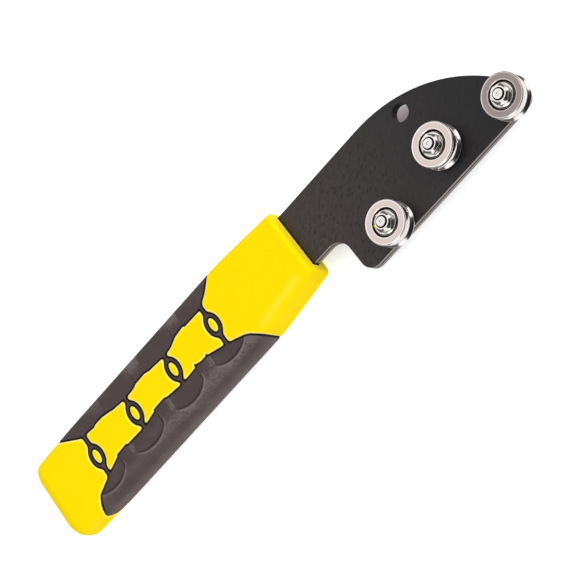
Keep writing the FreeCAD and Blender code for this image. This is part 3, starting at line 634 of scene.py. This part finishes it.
# Painted shade: the rubber is painted dark in the groove along its border.
seam_mask = add("MapRange", {"Value": seam, "From Min": 0.22, "From Max": 0.60}, **SMOOTH)
speck = add(
    "TexNoise", {"Vector": coords["Object"], "Scale": 1 / (0.7 * MM), "Detail": 1.5, "Roughness": 0.6}
)
speck_height = add("Math", {0: speck, 1: 0.5}, operation="SUBTRACT")
speck_share = add("Math", {0: speck_height, 1: stippled}, operation="MULTIPLY")
clouds = add(
    "TexNoise", {"Vector": coords["Object"], "Scale": 1 / (5.0 * MM), "Detail": 1.0, "Roughness": 0.5}
)
cloud_tone = add(
    "MapRange", {"Value": clouds, "From Min": 0.5, "From Max": 0.75, "To Max": 0.14}, clamp=False
)
# The skin's painted light and shade, with random clouds of tone.
worn_tone = add("Math", {0: skin_tone, 1: cloud_tone}, operation="ADD")
speck_tone = add("Math", {0: speck_share, 1: 1.25, 2: worn_tone}, operation="MULTIPLY_ADD")


def edge_line(middle, core, most):
    """A soft painted line along a pad's edge, where the pad's edge lines are marked: whole, as most, within
    core of its middle.
    """
    from_middle = add("Math", {0: pad_depth, 1: middle}, operation="SUBTRACT")
    distance = add("Math", {0: from_middle}, operation="ABSOLUTE")
    links = {"Value": distance, "From Min": LINE_HALF, "From Max": core, "To Max": most}
    return add("Math", {0: add("MapRange", links, **SMOOTH), 1: lipped}, operation="MULTIPLY")


# Painted highlight just outside a pad's edge.
lip_share = edge_line(-LIP_OUT, 0.05, 0.42)
lip_tone = add("Math", {0: speck_tone, 1: lip_share}, operation="ADD")
rib_tone = add("Math", {0: ribbed, 1: 0.9, 2: lip_tone}, operation="MULTIPLY_ADD", use_clamp=True)
skin_colour = add("Mix", {0: rib_tone, 6: "#4A3D3C", 7: "#776B6A"}, **COLOURS)
# Painted shade in the crease at a pad's edge.
crease_share = edge_line(CREASE_IN, 0.08, 0.9)
creased = add("Mix", {0: crease_share, 6: skin_colour, 7: "#2E2222"}, **COLOURS)
rubber_colour = add("Mix", {0: seam_mask, 6: "#120C03", 7: creased}, **COLOURS)
rubber_bump = add("Bump", {"Strength": 0.3, "Distance": 0.12 * MM, "Height": speck_share})
connect(shader, {"Base Color": rubber_colour, "Normal": rubber_bump})

UNDERSIDE_GAP = 0.05  # rubber's underside to the core's step
# Painted light and shade: the skin's tone, from dark (0) to light (1), by the way round the section from the
# axis: 0 to 10 mm is the flat, 10 to 16 mm the rounding, and the rest the side wall.
TONE_AT = (0, 8.0, 9.8, 11.2, 12.6, 14.0, 15.4, 16.8, 18.2, 21.7)
FINGER_TONE = (0, 0, 0.22, 0.52, 0.52, 0.26, 0.06, 0.08, 0.26, 0.70)
BACK_TONE = (0, 0.06, 0.34, 0.60, 0.66, 0.40, 0.20, 0.20, 0.30, 0.70)
BAY_TONE = (0.5, 0.9, 1.2)  # the painted light is weaker towards the butt, so the skin is darker there; it is also more worn and smoother there
BAY_STIPPLE = (0.25, 0.85, 1.0)
UNDER_ROUND = (flat_half + 3.0, flat_half + 5.5)  # the lower rounding, where the skin is painted lighter, as painted light from below
WALL_ROUND = (13.5, 15.5)
PAD_FADE = 0.25
BEHIND_START, BEHIND_REACH = 7.6, 11.0  # the back strip's stippled patch, behind each eyelet
BEHIND_FADE, BEHIND_FULL, BEHIND_END = 0.4, 3.0, 8.0  # and how it comes and goes, from its front
LIP_SIDE, LIP_NOSE, LIP_NEAR = (-9.5, -11.0), (-2.0, 0.0), (-6.8, -9.0)  # where a pad's painted edge lines come and go
STIPPLE_CLEAR = (0.9, 2.1)  # inside the rubber's border
underside = surface - (GRIP_DEPTH - UNDERSIDE_GAP) * normals
under_share = ramp(way_round, *UNDER_ROUND) * (core_z < 0) * ~is_wall
side_tone = np.where(
    core_y < 0, np.interp(way_round, TONE_AT, FINGER_TONE), np.interp(way_round, TONE_AT, BACK_TONE)
)
side_tone = side_tone + (FINGER_TONE[-1] - side_tone) * under_share
bay_x = eyelet_x[:-1] + np.diff(eyelet_x) / 2
bay_tone = np.interp(x, bay_x, BAY_TONE)
on_wall = ramp(way_round, *WALL_ROUND)
tone = side_tone * (bay_tone + (1 - bay_tone) * on_wall)
pad_mask = ramp(pad, -PAD_FADE, PAD_FADE)
behind = np.full(x.shape, np.inf)
for eyelet in eyelet_x[1:]:
    gap = eyelet - BEHIND_START - x
    behind = np.where((gap > -BEHIND_END) & (gap < BEHIND_REACH), gap, behind)
back_bay = ramp(behind, 0, BEHIND_FADE) * ramp(behind, BEHIND_END, BEHIND_FULL)
pad_mask = np.where(y < 0, pad_mask, 1 - back_bay)
# The pads get none of the painted light, except on the side wall.
tone = tone * np.where(on_wall > 0, 1, 1 - pad_mask)
from_eyelet = x - eyelet_x[np.abs(x[..., None] - eyelet_x + PAD_BACK).argmin(axis=-1)]
# Where a pad's painted edge lines show.
lip = np.maximum(ramp(y, *LIP_SIDE), ramp(from_eyelet, *LIP_NOSE)) * ramp(y, *LIP_NEAR)
stipple = np.interp(x, bay_x, BAY_STIPPLE) * (1 - pad_mask) * ramp(level, *STIPPLE_CLEAR) * (1 - on_wall)
points = to_row(np.stack([outside, underside]))
border = border_edges(rubber_faces, yellow_faces)
faces = np.concatenate([rubber_faces, rubber_faces[:, ::-1] + total, walls(border, total)])
points, faces, values = used_only(points, faces, level, tone, stipple, pad, lip, ribs)
grip = new_piece("grip_overmoulding", points, faces, "root", rubber, dict(zip(SKIN_MARKS, values)))
merged(grip, 1e-6)
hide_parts("grip_overmould")


# ---- Roller rings ----
# Each roller is a bearing's outer ring of hard chrome steel, turned, ground and polished, with a deep round
# groove for the wire. The faces are ground to a satin; the groove and the lands are bright.
TURN_STEPS = 144
CREASE_ANGLE = math.radians(28)


def arc(centre_r, centre_z, radius, start, end, steps):
    """Points on a circular arc of a profile, from one angle to another in degrees."""
    angle = np.radians(np.linspace(start, end, steps + 1))
    return np.stack([centre_r + radius * np.cos(angle), centre_z + radius * np.sin(angle)], axis=1)


def ring_grid(axis, angle, rings):
    """Points (round, along) of rings about an upright axis, each ring with its radius r and height z.

    A point at angle a is axis + (r cos a, r sin a, z), where r and z may change with the angle."""
    radius, height = [np.hstack([ring[side] + 0 * angle for ring in rings]) for side in (0, 1)]
    return axis + np.stack([radius * np.cos(angle), radius * np.sin(angle), height], axis=-1)


def gridded(name, points, body, material):
    """A piece from a grid of points in millimetres, (round, along), whose seams and poles are merged.

    Its UV is (share of a turn, millimetres along)."""
    rows, columns = points.shape[:2]
    number = np.arange(rows * columns).reshape(rows, columns)
    faces = np.stack([number[:-1, :-1], number[:-1, 1:], number[1:, 1:], number[1:, :-1]], axis=-1)
    faces = faces.reshape(-1, 4)[:, ::-1]
    travelled = np.linalg.norm(np.diff(points[0], axis=0), axis=1)
    run = np.concatenate([[0], np.cumsum(travelled)])
    uv = np.stack(np.meshgrid(np.linspace(0, 1, rows), run, indexing="ij"), axis=-1).reshape(-1, 2)
    obj = new_piece(name, points.reshape(-1, 3) * MM, faces, body, material)
    layer = obj.data.uv_layers.new(name="UVMap")
    layer.data.foreach_set("uv", uv[faces.ravel()].ravel())
    merged(obj, 1e-7)
    obj.data.set_sharp_from_angle(angle=CREASE_ANGLE)
    return obj


def turned(name, profile, axis, body, material):
    """A surface of revolution: a closed profile of (radius, height) carried once round an upright axis."""
    angle = np.linspace(0, 2 * np.pi, TURN_STEPS + 1)[:, None]
    return gridded(name, ring_grid(axis, angle, [*profile, profile[0]]), body, material)


DULL_FROM = 78 * MM  # the last ring's faces come from a coarser grind, and look duller
RIMS = ((5.88, 6.0), (4.56, 4.46))  # a face's rims are painted bright, as a painted highlight: radius where that starts and where it is full
ring_steel, shader, add, coords = new_material("bearing steel, ground and polished", {"Metallic": 1.0})
millimetres_along = add("SeparateXYZ", {0: coords["UV"]}).outputs["Y"]
facing = add("SeparateXYZ", {0: coords["Normal"]}).outputs
face_up = add("Math", {0: facing["Z"]}, operation="ABSOLUTE")
ground = add("MapRange", {"Value": face_up, "From Min": 0.96, "From Max": 0.995}, **SMOOTH)
lines = add("TexNoise", {"W": millimetres_along, "Scale": 9.0, "Detail": 3.0}, noise_dimensions="1D")
ground_rough = add("MapRange", {"Value": lines, **NOISE_RANGE, "To Min": 0.07, "To Max": 0.13})
roughness = add("Mix", {0: ground, 2: 0.05, 3: ground_rough})
spot = add("SeparateXYZ", {0: coords["Object"]}).outputs
dulled = add("Math", {0: spot["X"], 1: DULL_FROM}, operation="GREATER_THAN")
ground_colour = add("Mix", {0: dulled, 6: "#DED0C9", 7: "#9E918E"}, **COLOURS)
from_axis = add("Attribute", attribute_name="radius").outputs["Fac"]
turning = add("TexNoise", {"W": from_axis, "Scale": 1.8, "Detail": 1.0}, noise_dimensions="1D")
turned_tone = add("MapRange", {"Value": turning, **NOISE_RANGE, "To Min": 0.9, "To Max": 1.06})
turned_colour = add("Mix", {0: 1.0, 6: ground_colour, 7: turned_tone}, **TINTED)
# Painted highlight: each face is painted brighter at its two rims.
outer_rim, inner_rim = [
    add("MapRange", {"Value": from_axis, "From Min": start, "From Max": end}, **SMOOTH)
    for start, end in RIMS
]
at_rims = add("Math", {0: outer_rim, 1: inner_rim}, operation="MAXIMUM")
rim_colour = add("Mix", {0: dulled, 6: "#FBF2EE", 7: "#C9BBB7"}, **COLOURS)
face_colour = add("Mix", {0: at_rims, 6: turned_colour, 7: rim_colour}, **COLOURS)
ring_colour = add("Mix", {0: ground, 6: "#F4EEEA", 7: face_colour}, **COLOURS)
line_bump = add("Bump", {"Strength": 0.15, "Distance": 0.01 * MM, "Height": lines})
connect(shader, {"Base Color": ring_colour, "Roughness": roughness, "Normal": line_bump})

RING_RADIUS, RING_HALF = 6.5, 2.6
RING_LAND, RING_EDGE, RING_LIP, LAND_ROUND = 0.55, 0.36, 0.16, 0.1
GROOVE_FLOOR = 5.3
SEAT_RADIUS, SEAT_DEPTH = 4.15, 0.75
RACE_LAND = 3.55
HOLD = 0.05  # a narrow strip inside each flat's edge, which keeps the flat's shading flat


def ring_profile():
    """The ring's section: seats, ground faces, rounded rims, lands and a groove that is one circular arc."""
    lip = RING_HALF - RING_LAND
    sink = RING_RADIUS - GROOVE_FLOOR
    groove = (lip**2 + sink**2) / (2 * sink)
    sweep = math.degrees(math.asin(lip / groove))
    edge, inner = RING_EDGE, RING_LIP
    step = RING_HALF - SEAT_DEPTH
    upper = np.vstack(
        [
            [(RACE_LAND, 0), (RACE_LAND, step), (SEAT_RADIUS, step), (SEAT_RADIUS, RING_HALF - inner)],
            arc(SEAT_RADIUS + inner, RING_HALF - inner, inner, 180, 90, 4)[1:],
            [(SEAT_RADIUS + inner + HOLD, RING_HALF), (RING_RADIUS - edge - HOLD, RING_HALF)],
            arc(RING_RADIUS - edge, RING_HALF - edge, edge, 90, 0, 7),
            arc(RING_RADIUS - LAND_ROUND, lip + 0.9 * LAND_ROUND, LAND_ROUND, 0, -60, 3),
            arc(GROOVE_FLOOR + groove, 0, groove, 180 - sweep, 180, 14)[1:],
        ]
    )
    lower = upper[::-1] * (1, -1)
    return np.vstack([upper, lower[1:-1]])


def marked(obj, key, axis, rule):
    """Stores a number at each point of a piece, by a rule from its distance from the axis and its height."""
    spots = np.array([vertex.co for vertex in obj.data.vertices]) / MM - axis
    values = rule(np.hypot(spots[:, 0], spots[:, 1]), spots[:, 2])
    obj.data.attributes.new(key, "FLOAT", "POINT").data.foreach_set("value", values)


axes = {}
for number in (1, 2, 3):
    low, high = np.array(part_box("roller_%d_outer_ring" % number)) / MM
    axes[number] = (low + high) / 2
for number, axis in axes.items():
    ring = turned("roller_%d_ring" % number, ring_profile(), axis, "roller_%d" % number, ring_steel)
    marked(ring, "radius", axis, lambda radius, height: radius)
    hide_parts("roller_%d_outer_ring" % number)


# ---- Shields ----
# A thin pressed steel shield closes each side of the bearing. It is a ring with a faint oil film and a
# curled outer edge, snapped into the ring's seat, and a shallow bead near its inner edge. Its outer rim is
# painted dark, as painted shade in the seat.
OILY_START, OILY_FULL = 3.64, 3.74  # where the painted shade starts and where it is full, from the axis
shield_steel, shader, add, coords = new_material(
    "pressed steel, oily at its rim", {"Metallic": 1.0, "Roughness": 0.45}
)
film = add("TexNoise", {"Vector": coords["Object"], "Scale": 1 / (1.5 * MM), "Detail": 3.0})
film_colour = add("Mix", {0: film, 6: "#A39A94", 7: "#C9C0BA"}, **COLOURS)
from_axis = add("Attribute", attribute_name="radius").outputs["Fac"]
# Painted shade: the shield's outer rim, down in the seat, is painted dark.
oily = add("MapRange", {"Value": from_axis, "From Min": OILY_START, "From Max": OILY_FULL}, **SMOOTH)
shield_colour = add("Mix", {0: oily, 6: film_colour, 7: "#1C1716"}, **COLOURS)
connect(shader, {"Base Color": shield_colour})

SHIELD_TOP, SHIELD_INNER = 2.05, 2.65
SHEET, CURL, BEAD = 0.1, 0.1, 0.12  # thickness, and radii of the two curls and of the bead
OUTER_CURL, INNER_CURL, BEAD_OUT = 0.14, 0.52, 0.3  # their middles, from the seat and from the bore
face, back = SHIELD_TOP - CURL, SHIELD_TOP - CURL - SHEET
shield_profile = np.vstack(
    [
        [(SHIELD_INNER, back), (SEAT_RADIUS, back), (SEAT_RADIUS, SHIELD_TOP - 0.04)],
        arc(SEAT_RADIUS - OUTER_CURL, face, CURL, 40, 150, 5),
        [(SEAT_RADIUS - 0.32, face), (SEAT_RADIUS - 0.38, face)],
        arc(SEAT_RADIUS - INNER_CURL, face, CURL, 20, 160, 6),
        [(SEAT_RADIUS - 0.70, face), (SHIELD_INNER + 0.55, face)],
        arc(SHIELD_INNER + BEAD_OUT, face, BEAD, 20, 160, 6),
        [(SHIELD_INNER, face)],
    ]
)
for number, axis in axes.items():
    for side, profile in (("front", shield_profile), ("rear", shield_profile[::-1] * (1, -1))):
        name = "roller_%d_%s_cover" % (number, side)
        shield = turned(name, profile, axis, "roller_%d" % number, shield_steel)
        marked(shield, "radius", axis, lambda radius, height: radius)
        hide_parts("roller_%d_%s_shield" % (number, side))


# ---- Washers ----
# A plain washer, punched and tumbled, so that its edges are well rounded. Nuts and bolts have the same
# bright zinc plate, which is a little hazy; their recesses are painted dark, as painted shade.
zinc, shader, add, coords = new_material("steel, bright zinc plate", {"Metallic": 1.0})
haze = add("TexNoise", {"Vector": coords["Object"], "Scale": 1 / (0.8 * MM), "Detail": 3.0})
zinc_rough = add("MapRange", {"Value": haze, **NOISE_RANGE, "To Min": 0.05, "To Max": 0.12})
zinc_colour = add("Mix", {0: haze, 6: "#E6E1DD", 7: "#F8F4F0"}, **COLOURS)
# Painted shade: the nut's countersink and the bolt's thread are painted dark.
grime = add("Attribute", attribute_name="grime").outputs["Fac"]
soiled_colour = add("Mix", {0: grime, 6: zinc_colour, 7: "#1E1917"}, **COLOURS)
connect(shader, {"Base Color": soiled_colour, "Roughness": zinc_rough})

WASHER_OUTER, WASHER_INNER = 3.5, 1.6
WASHER_ROUND, SMALL_ROUND = 0.2, 0.1  # at the top's rim, and at the bore and the underside
for number, axis in axes.items():
    low, high = np.array(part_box("roller_%d_washer" % number)) / MM
    height = high[2] - low[2]
    outer, inner = WASHER_OUTER - WASHER_ROUND, WASHER_INNER + SMALL_ROUND
    profile = np.vstack(
        [
            [(WASHER_INNER, 0), (WASHER_OUTER - SMALL_ROUND, 0)],
            arc(outer, height - WASHER_ROUND, WASHER_ROUND, 0, 90, 6),
            [(outer - HOLD, height), (inner + HOLD, height)],
            arc(inner, height - SMALL_ROUND, SMALL_ROUND, 90, 180, 3),
        ]
    )
    place = np.array([*axis[:2], low[2]])
    washer = turned("roller_%d_flat_washer" % number, profile[::-1], place, "root", zinc)
    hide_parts("roller_%d_washer" % number)


# ---- Nuts ----
# A hexagon nut, turned to a steep cone at both ends, so that its flats end in curves, and countersunk at the
# bore. The tumbled edges between the cone and the flats are rounded and catch the light.
NUT_FLATS = 5.5
NUT_BORE, SINK_RADIUS, SINK_DEPTH = 1.5, 1.82, 0.4
CONE_SLOPE = math.tan(math.radians(38))
CONE_START = 2.2
CREST = 0.12  # rounding of the edge between the cone and a flat, across


def hexagon_radius(angle, flats, rounding=0.03):
    """Radius of a hexagon of that width across its flats, with its corners drawn in a little."""
    wrapped = np.mod(angle, np.pi / 3) - np.pi / 6
    return flats / 2 / np.cos(wrapped) * (1 - rounding * (np.abs(wrapped) / (np.pi / 6)) ** 8)


def nut_grid(axis, height, turn):
    """Rings from the bore over the top, down the flats and back underneath.

    The top is flat to the cone's start, and then falls as the cone's slope times the radius beyond it."""
    angle = np.linspace(0, 2 * np.pi, TURN_STEPS + 1)[:, None]
    outer = hexagon_radius(angle, NUT_FLATS)
    crest = outer - CREST
    edge = height - CONE_SLOPE * (crest - CONE_START)
    top = [(NUT_BORE, height - SINK_DEPTH), (SINK_RADIUS, height), (SINK_RADIUS + HOLD, height)]
    fall = CONE_SLOPE * HOLD
    top += [(CONE_START - HOLD, height), (CONE_START, height), (CONE_START + HOLD, height - fall)]
    top += [(crest - HOLD, edge + fall), (crest, edge), (crest + 0.6 * CREST, edge - 0.7 * CREST)]
    top += [(outer, edge - 1.6 * CREST), (outer, edge - 1.6 * CREST - HOLD)]
    bottom = [(radius, height - level) for radius, level in top[::-1]]
    return ring_grid(axis, angle + turn, top + bottom + top[:1])


NUT_TURNS = {1: 42, 2: 12, 3: 40}  # degrees to a corner, as each was tightened
for number, axis in axes.items():
    low, high = np.array(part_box("roller_%d_nut" % number)) / MM
    place = np.array([*axis[:2], low[2]])
    grid = nut_grid(place, high[2] - low[2], math.radians(NUT_TURNS[number]))
    nut = gridded("roller_%d_hex_nut" % number, grid, "root", zinc)
    # Painted shade in the countersink.
    marked(nut, "grime", place, lambda radius, height: (radius < SINK_RADIUS + 0.01) * 1.0)
    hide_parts("roller_%d_nut" % number)


# ---- Bolts ----
# A button-head bolt with a rolled thread. Its end stands just out of the nut, and its head, with a hexagon
# socket, lies on the back of the plate.
BOLT_RADIUS, BOLT_STEPS = 1.48, 96
THREAD_PITCH, THREAD_DEPTH = 0.5, 0.22
HEAD_RADIUS, HEAD_HEIGHT, HEAD_RIM, HEAD_ROUND = 2.85, 1.65, 0.4, 0.1
SOCKET_FLATS, SOCKET_DEPTH = 2.0, 1.0
END_BEVEL, END_DOME = 0.12, 0.05
DIMPLE_RADIUS, DIMPLE_DEPTH = 0.5, 0.12


def bolt_grid(axis, length):
    """Rings from the socket's floor over the head and up the shank to its end.

    On the thread the radius falls by a triangle wave of height / pitch - angle / turn."""
    angle = np.linspace(0, 2 * np.pi, BOLT_STEPS + 1)[:, None]
    socket = hexagon_radius(angle, SOCKET_FLATS, 0)
    crown = HEAD_HEIGHT - HEAD_RIM
    dome = (HEAD_RADIUS**2 + crown**2) / (2 * crown)
    rings = [(0, SOCKET_DEPTH - HEAD_HEIGHT), (socket, SOCKET_DEPTH - HEAD_HEIGHT)]
    for share in (0.0, 0.03, 0.2, 0.4, 0.6, 0.8, 0.95, 1.0):
        radius = socket * (1 - share) + (HEAD_RADIUS - 0.12) * share
        rings.append((radius, dome - np.sqrt(dome**2 - radius**2) - HEAD_HEIGHT))
    rings += [(HEAD_RADIUS, 0.05 - HEAD_RIM), (HEAD_RADIUS, -HEAD_ROUND)]
    rings += [(HEAD_RADIUS - HEAD_ROUND, 0), (BOLT_RADIUS, 0)]
    for height in np.arange(0.1, length - END_BEVEL / 2, THREAD_PITCH / 10):
        wave = 2 * np.abs(np.mod(height / THREAD_PITCH - angle / (2 * np.pi), 1) - 0.5)
        bevel = max(0.0, height - (length - END_BEVEL))
        rings.append((np.minimum(BOLT_RADIUS - THREAD_DEPTH * wave, BOLT_RADIUS - bevel), height))
    for share in np.linspace(1, 0.36, 7):
        rings.append(((BOLT_RADIUS - END_BEVEL) * share, length - END_DOME * share**2))
    rings += [(DIMPLE_RADIUS * 0.7, length - DIMPLE_DEPTH), (0, length - DIMPLE_DEPTH)]
    return ring_grid(axis, angle, rings)


for number, axis in axes.items():
    low, high = np.array(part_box("roller_%d_bolt" % number)) / MM
    under_head = low[2] + HEAD_HEIGHT
    place = np.array([*axis[:2], under_head])
    length = high[2] - under_head
    grid = bolt_grid(place, length)[:, ::-1]
    bolt = gridded("roller_%d_button_bolt" % number, grid, "root", zinc)
    # Painted shade on the thread.
    marked(bolt, "grime", place, lambda radius, height: ((height > 0.5) & (height < length - 0.2)) * 1.0)
    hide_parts("roller_%d_bolt" % number)


# ---- Inside the bearings ----
# Spacers, inner rings and balls are bright steel, and the crown cages are natural nylon. They keep the
# shapes they have, because the shields hide almost all of them.
nylon, shader, add, coords = new_material("nylon, natural", {"Roughness": 0.45})
milk = add("TexNoise", {"Vector": coords["Object"], "Scale": 1 / MM, "Detail": 2.0})
milk_colour = add("Mix", {0: milk, 6: "#D8CFBC", 7: "#E8E1D2"}, **COLOURS)
connect(shader, {"Base Color": milk_colour})
for number in axes:
    for piece, material in (("spacer", zinc), ("inner_ring", zinc), ("balls", zinc), ("cage", nylon)):
        dress("roller_%d_%s" % (number, piece), material)


# ---- Floor and light ----
# The tool lies on a white sweep in a light tent. Matt surfaces get the tent's even light. Mirrors see what
# stands in it: soft round panels to the sides, behind and above, and a dark gap on the camera's side.
FLOOR_HALF, FLOOR_DROP = 1.6, 0.2 * MM
SHADOW_LIFT = 0.52  # light that only the camera sees, which makes the sheet's shadow faint
UNDER_HEAD = (52 * MM, 5 * MM)  # middle of the oval patch of sheet under the head, which lies in deep shade and is painted darker as a painted shadow
UNDER_HALF = (28 * MM, 14.5 * MM)
UNDER_FULL = 0.72
TOUCHING = 4 * MM  # light passes through the sheet this near a piece, so that its back isn't left black
floor_mesh = bpy.data.meshes.new("floor")
floor_mesh.from_pydata(
    [(sx * FLOOR_HALF, sy * FLOOR_HALF, -FLOOR_DROP) for sx, sy in ((-1, -1), (1, -1), (1, 1), (-1, 1))],
    [],
    [(0, 1, 2, 3)],
)
floor = placed("floor", floor_mesh)
paper, shader, add, coords = new_material(
    "white paper", {"Roughness": 0.9, "Specular IOR Level": 0.0, "Emission Color": (1, 1, 1, 1)}
)
shade_scale = Vector((1 / UNDER_HALF[0], 1 / UNDER_HALF[1], 0))
shade_shift = Vector((-UNDER_HEAD[0], -UNDER_HEAD[1], 0)) * shade_scale
from_shade = add(
    "VectorMath", {0: coords["Object"], 1: shade_scale, 2: shade_shift}, operation="MULTIPLY_ADD"
)
shade_distance = add("VectorMath", {0: from_shade}, operation="LENGTH")
unshaded = add("MapRange", {"Value": shade_distance, "From Min": UNDER_FULL, "From Max": 1.0}, **SMOOTH)
rays = add("LightPath").outputs
lifted = add("Math", {0: rays["Is Camera Ray"], 1: unshaded}, operation="MULTIPLY")
glow = add("Math", {0: lifted, 1: SHADOW_LIFT}, operation="MULTIPLY")
# Painted shadow: the sheet is painted darker in the oval under the head.
shade_colour = add("Mix", {0: unshaded, 6: "#D2C4C8", 7: "#FCFCFC"}, **COLOURS)
connect(shader, {"Base Color": shade_colour, "Emission Strength": glow})
under = add("NewGeometry").outputs
nothing = add("BsdfTransparent")
touching = add("Math", {0: rays["Ray Length"], 1: TOUCHING}, operation="LESS_THAN")
open_to = add(
    "Math",
    {0: rays["Is Diffuse Ray"], 1: touching, 2: under["Backfacing"]},
    operation="MULTIPLY_ADD", use_clamp=True,
)
one_sided = add("MixShader", {0: open_to, 1: shader, 2: nothing})
connect(paper.node_tree.nodes["Material Output"], {"Surface": one_sided})
floor_mesh.materials.append(paper)
floor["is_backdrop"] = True

lamp = placed("front window", bpy.data.lights.new("front window", "SUN"))
lamp.data.energy = 1.7
lamp.data.angle = math.radians(70)
lamp.rotation_mode = "QUATERNION"
lamp.rotation_quaternion = Vector((0.92, -0.12, 0.32)).to_track_quat("Z", "Y")
lamp.visible_glossy = False
lamp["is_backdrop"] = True

EVEN_LIGHT = 0.83
BETWEEN_PANELS = 0.13
PANELS = (  # direction, degrees to where it is full and to where it ends, brightness
    ((-0.20, 0.30, 0.93), 26, 38, 0.85),
    ((0.46, -0.71, 0.53), 18, 44, -0.11),
    ((-0.504, -0.773, 0.382), 14, 24, 1.0),
    ((-0.343, -0.343, 0.868), 5, 15, 4.0),
    ((0.909, 0.185, 0.375), 14, 24, 1.0),
    ((-0.494, 0.760, 0.420), 14, 28, 0.8),
)
world = bpy.data.worlds.new("studio")
bpy.context.scene.world = world
world.use_nodes = True
world.node_tree.nodes.clear()
add = partial(add_node, world.node_tree)
coords = add("TexCoord").outputs
mirrored = BETWEEN_PANELS
for direction, full, gone, brightness in PANELS:
    towards = add(
        "VectorMath", {0: coords["Generated"], 1: Vector(direction).normalized()}, operation="DOT_PRODUCT"
    )
    full, gone = math.cos(math.radians(full)), math.cos(math.radians(gone))
    share = add("MapRange", {"Value": towards, "From Min": gone, "From Max": full}, **SMOOTH)
    mirrored = add("Math", {0: share, 1: brightness, 2: mirrored}, operation="MULTIPLY_ADD")
rays = add("LightPath").outputs
lit = add("Mix", {0: rays["Is Glossy Ray"], 2: EVEN_LIGHT, 3: mirrored})
shown = add("Mix", {0: rays["Is Camera Ray"], 2: lit, 3: 1.0})
tent = add("Background", {"Color": (1, 1, 1, 1), "Strength": shown})
add("OutputWorld", {"Surface": tent})

bpy.context.scene.view_settings.view_transform = "Standard"

low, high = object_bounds()
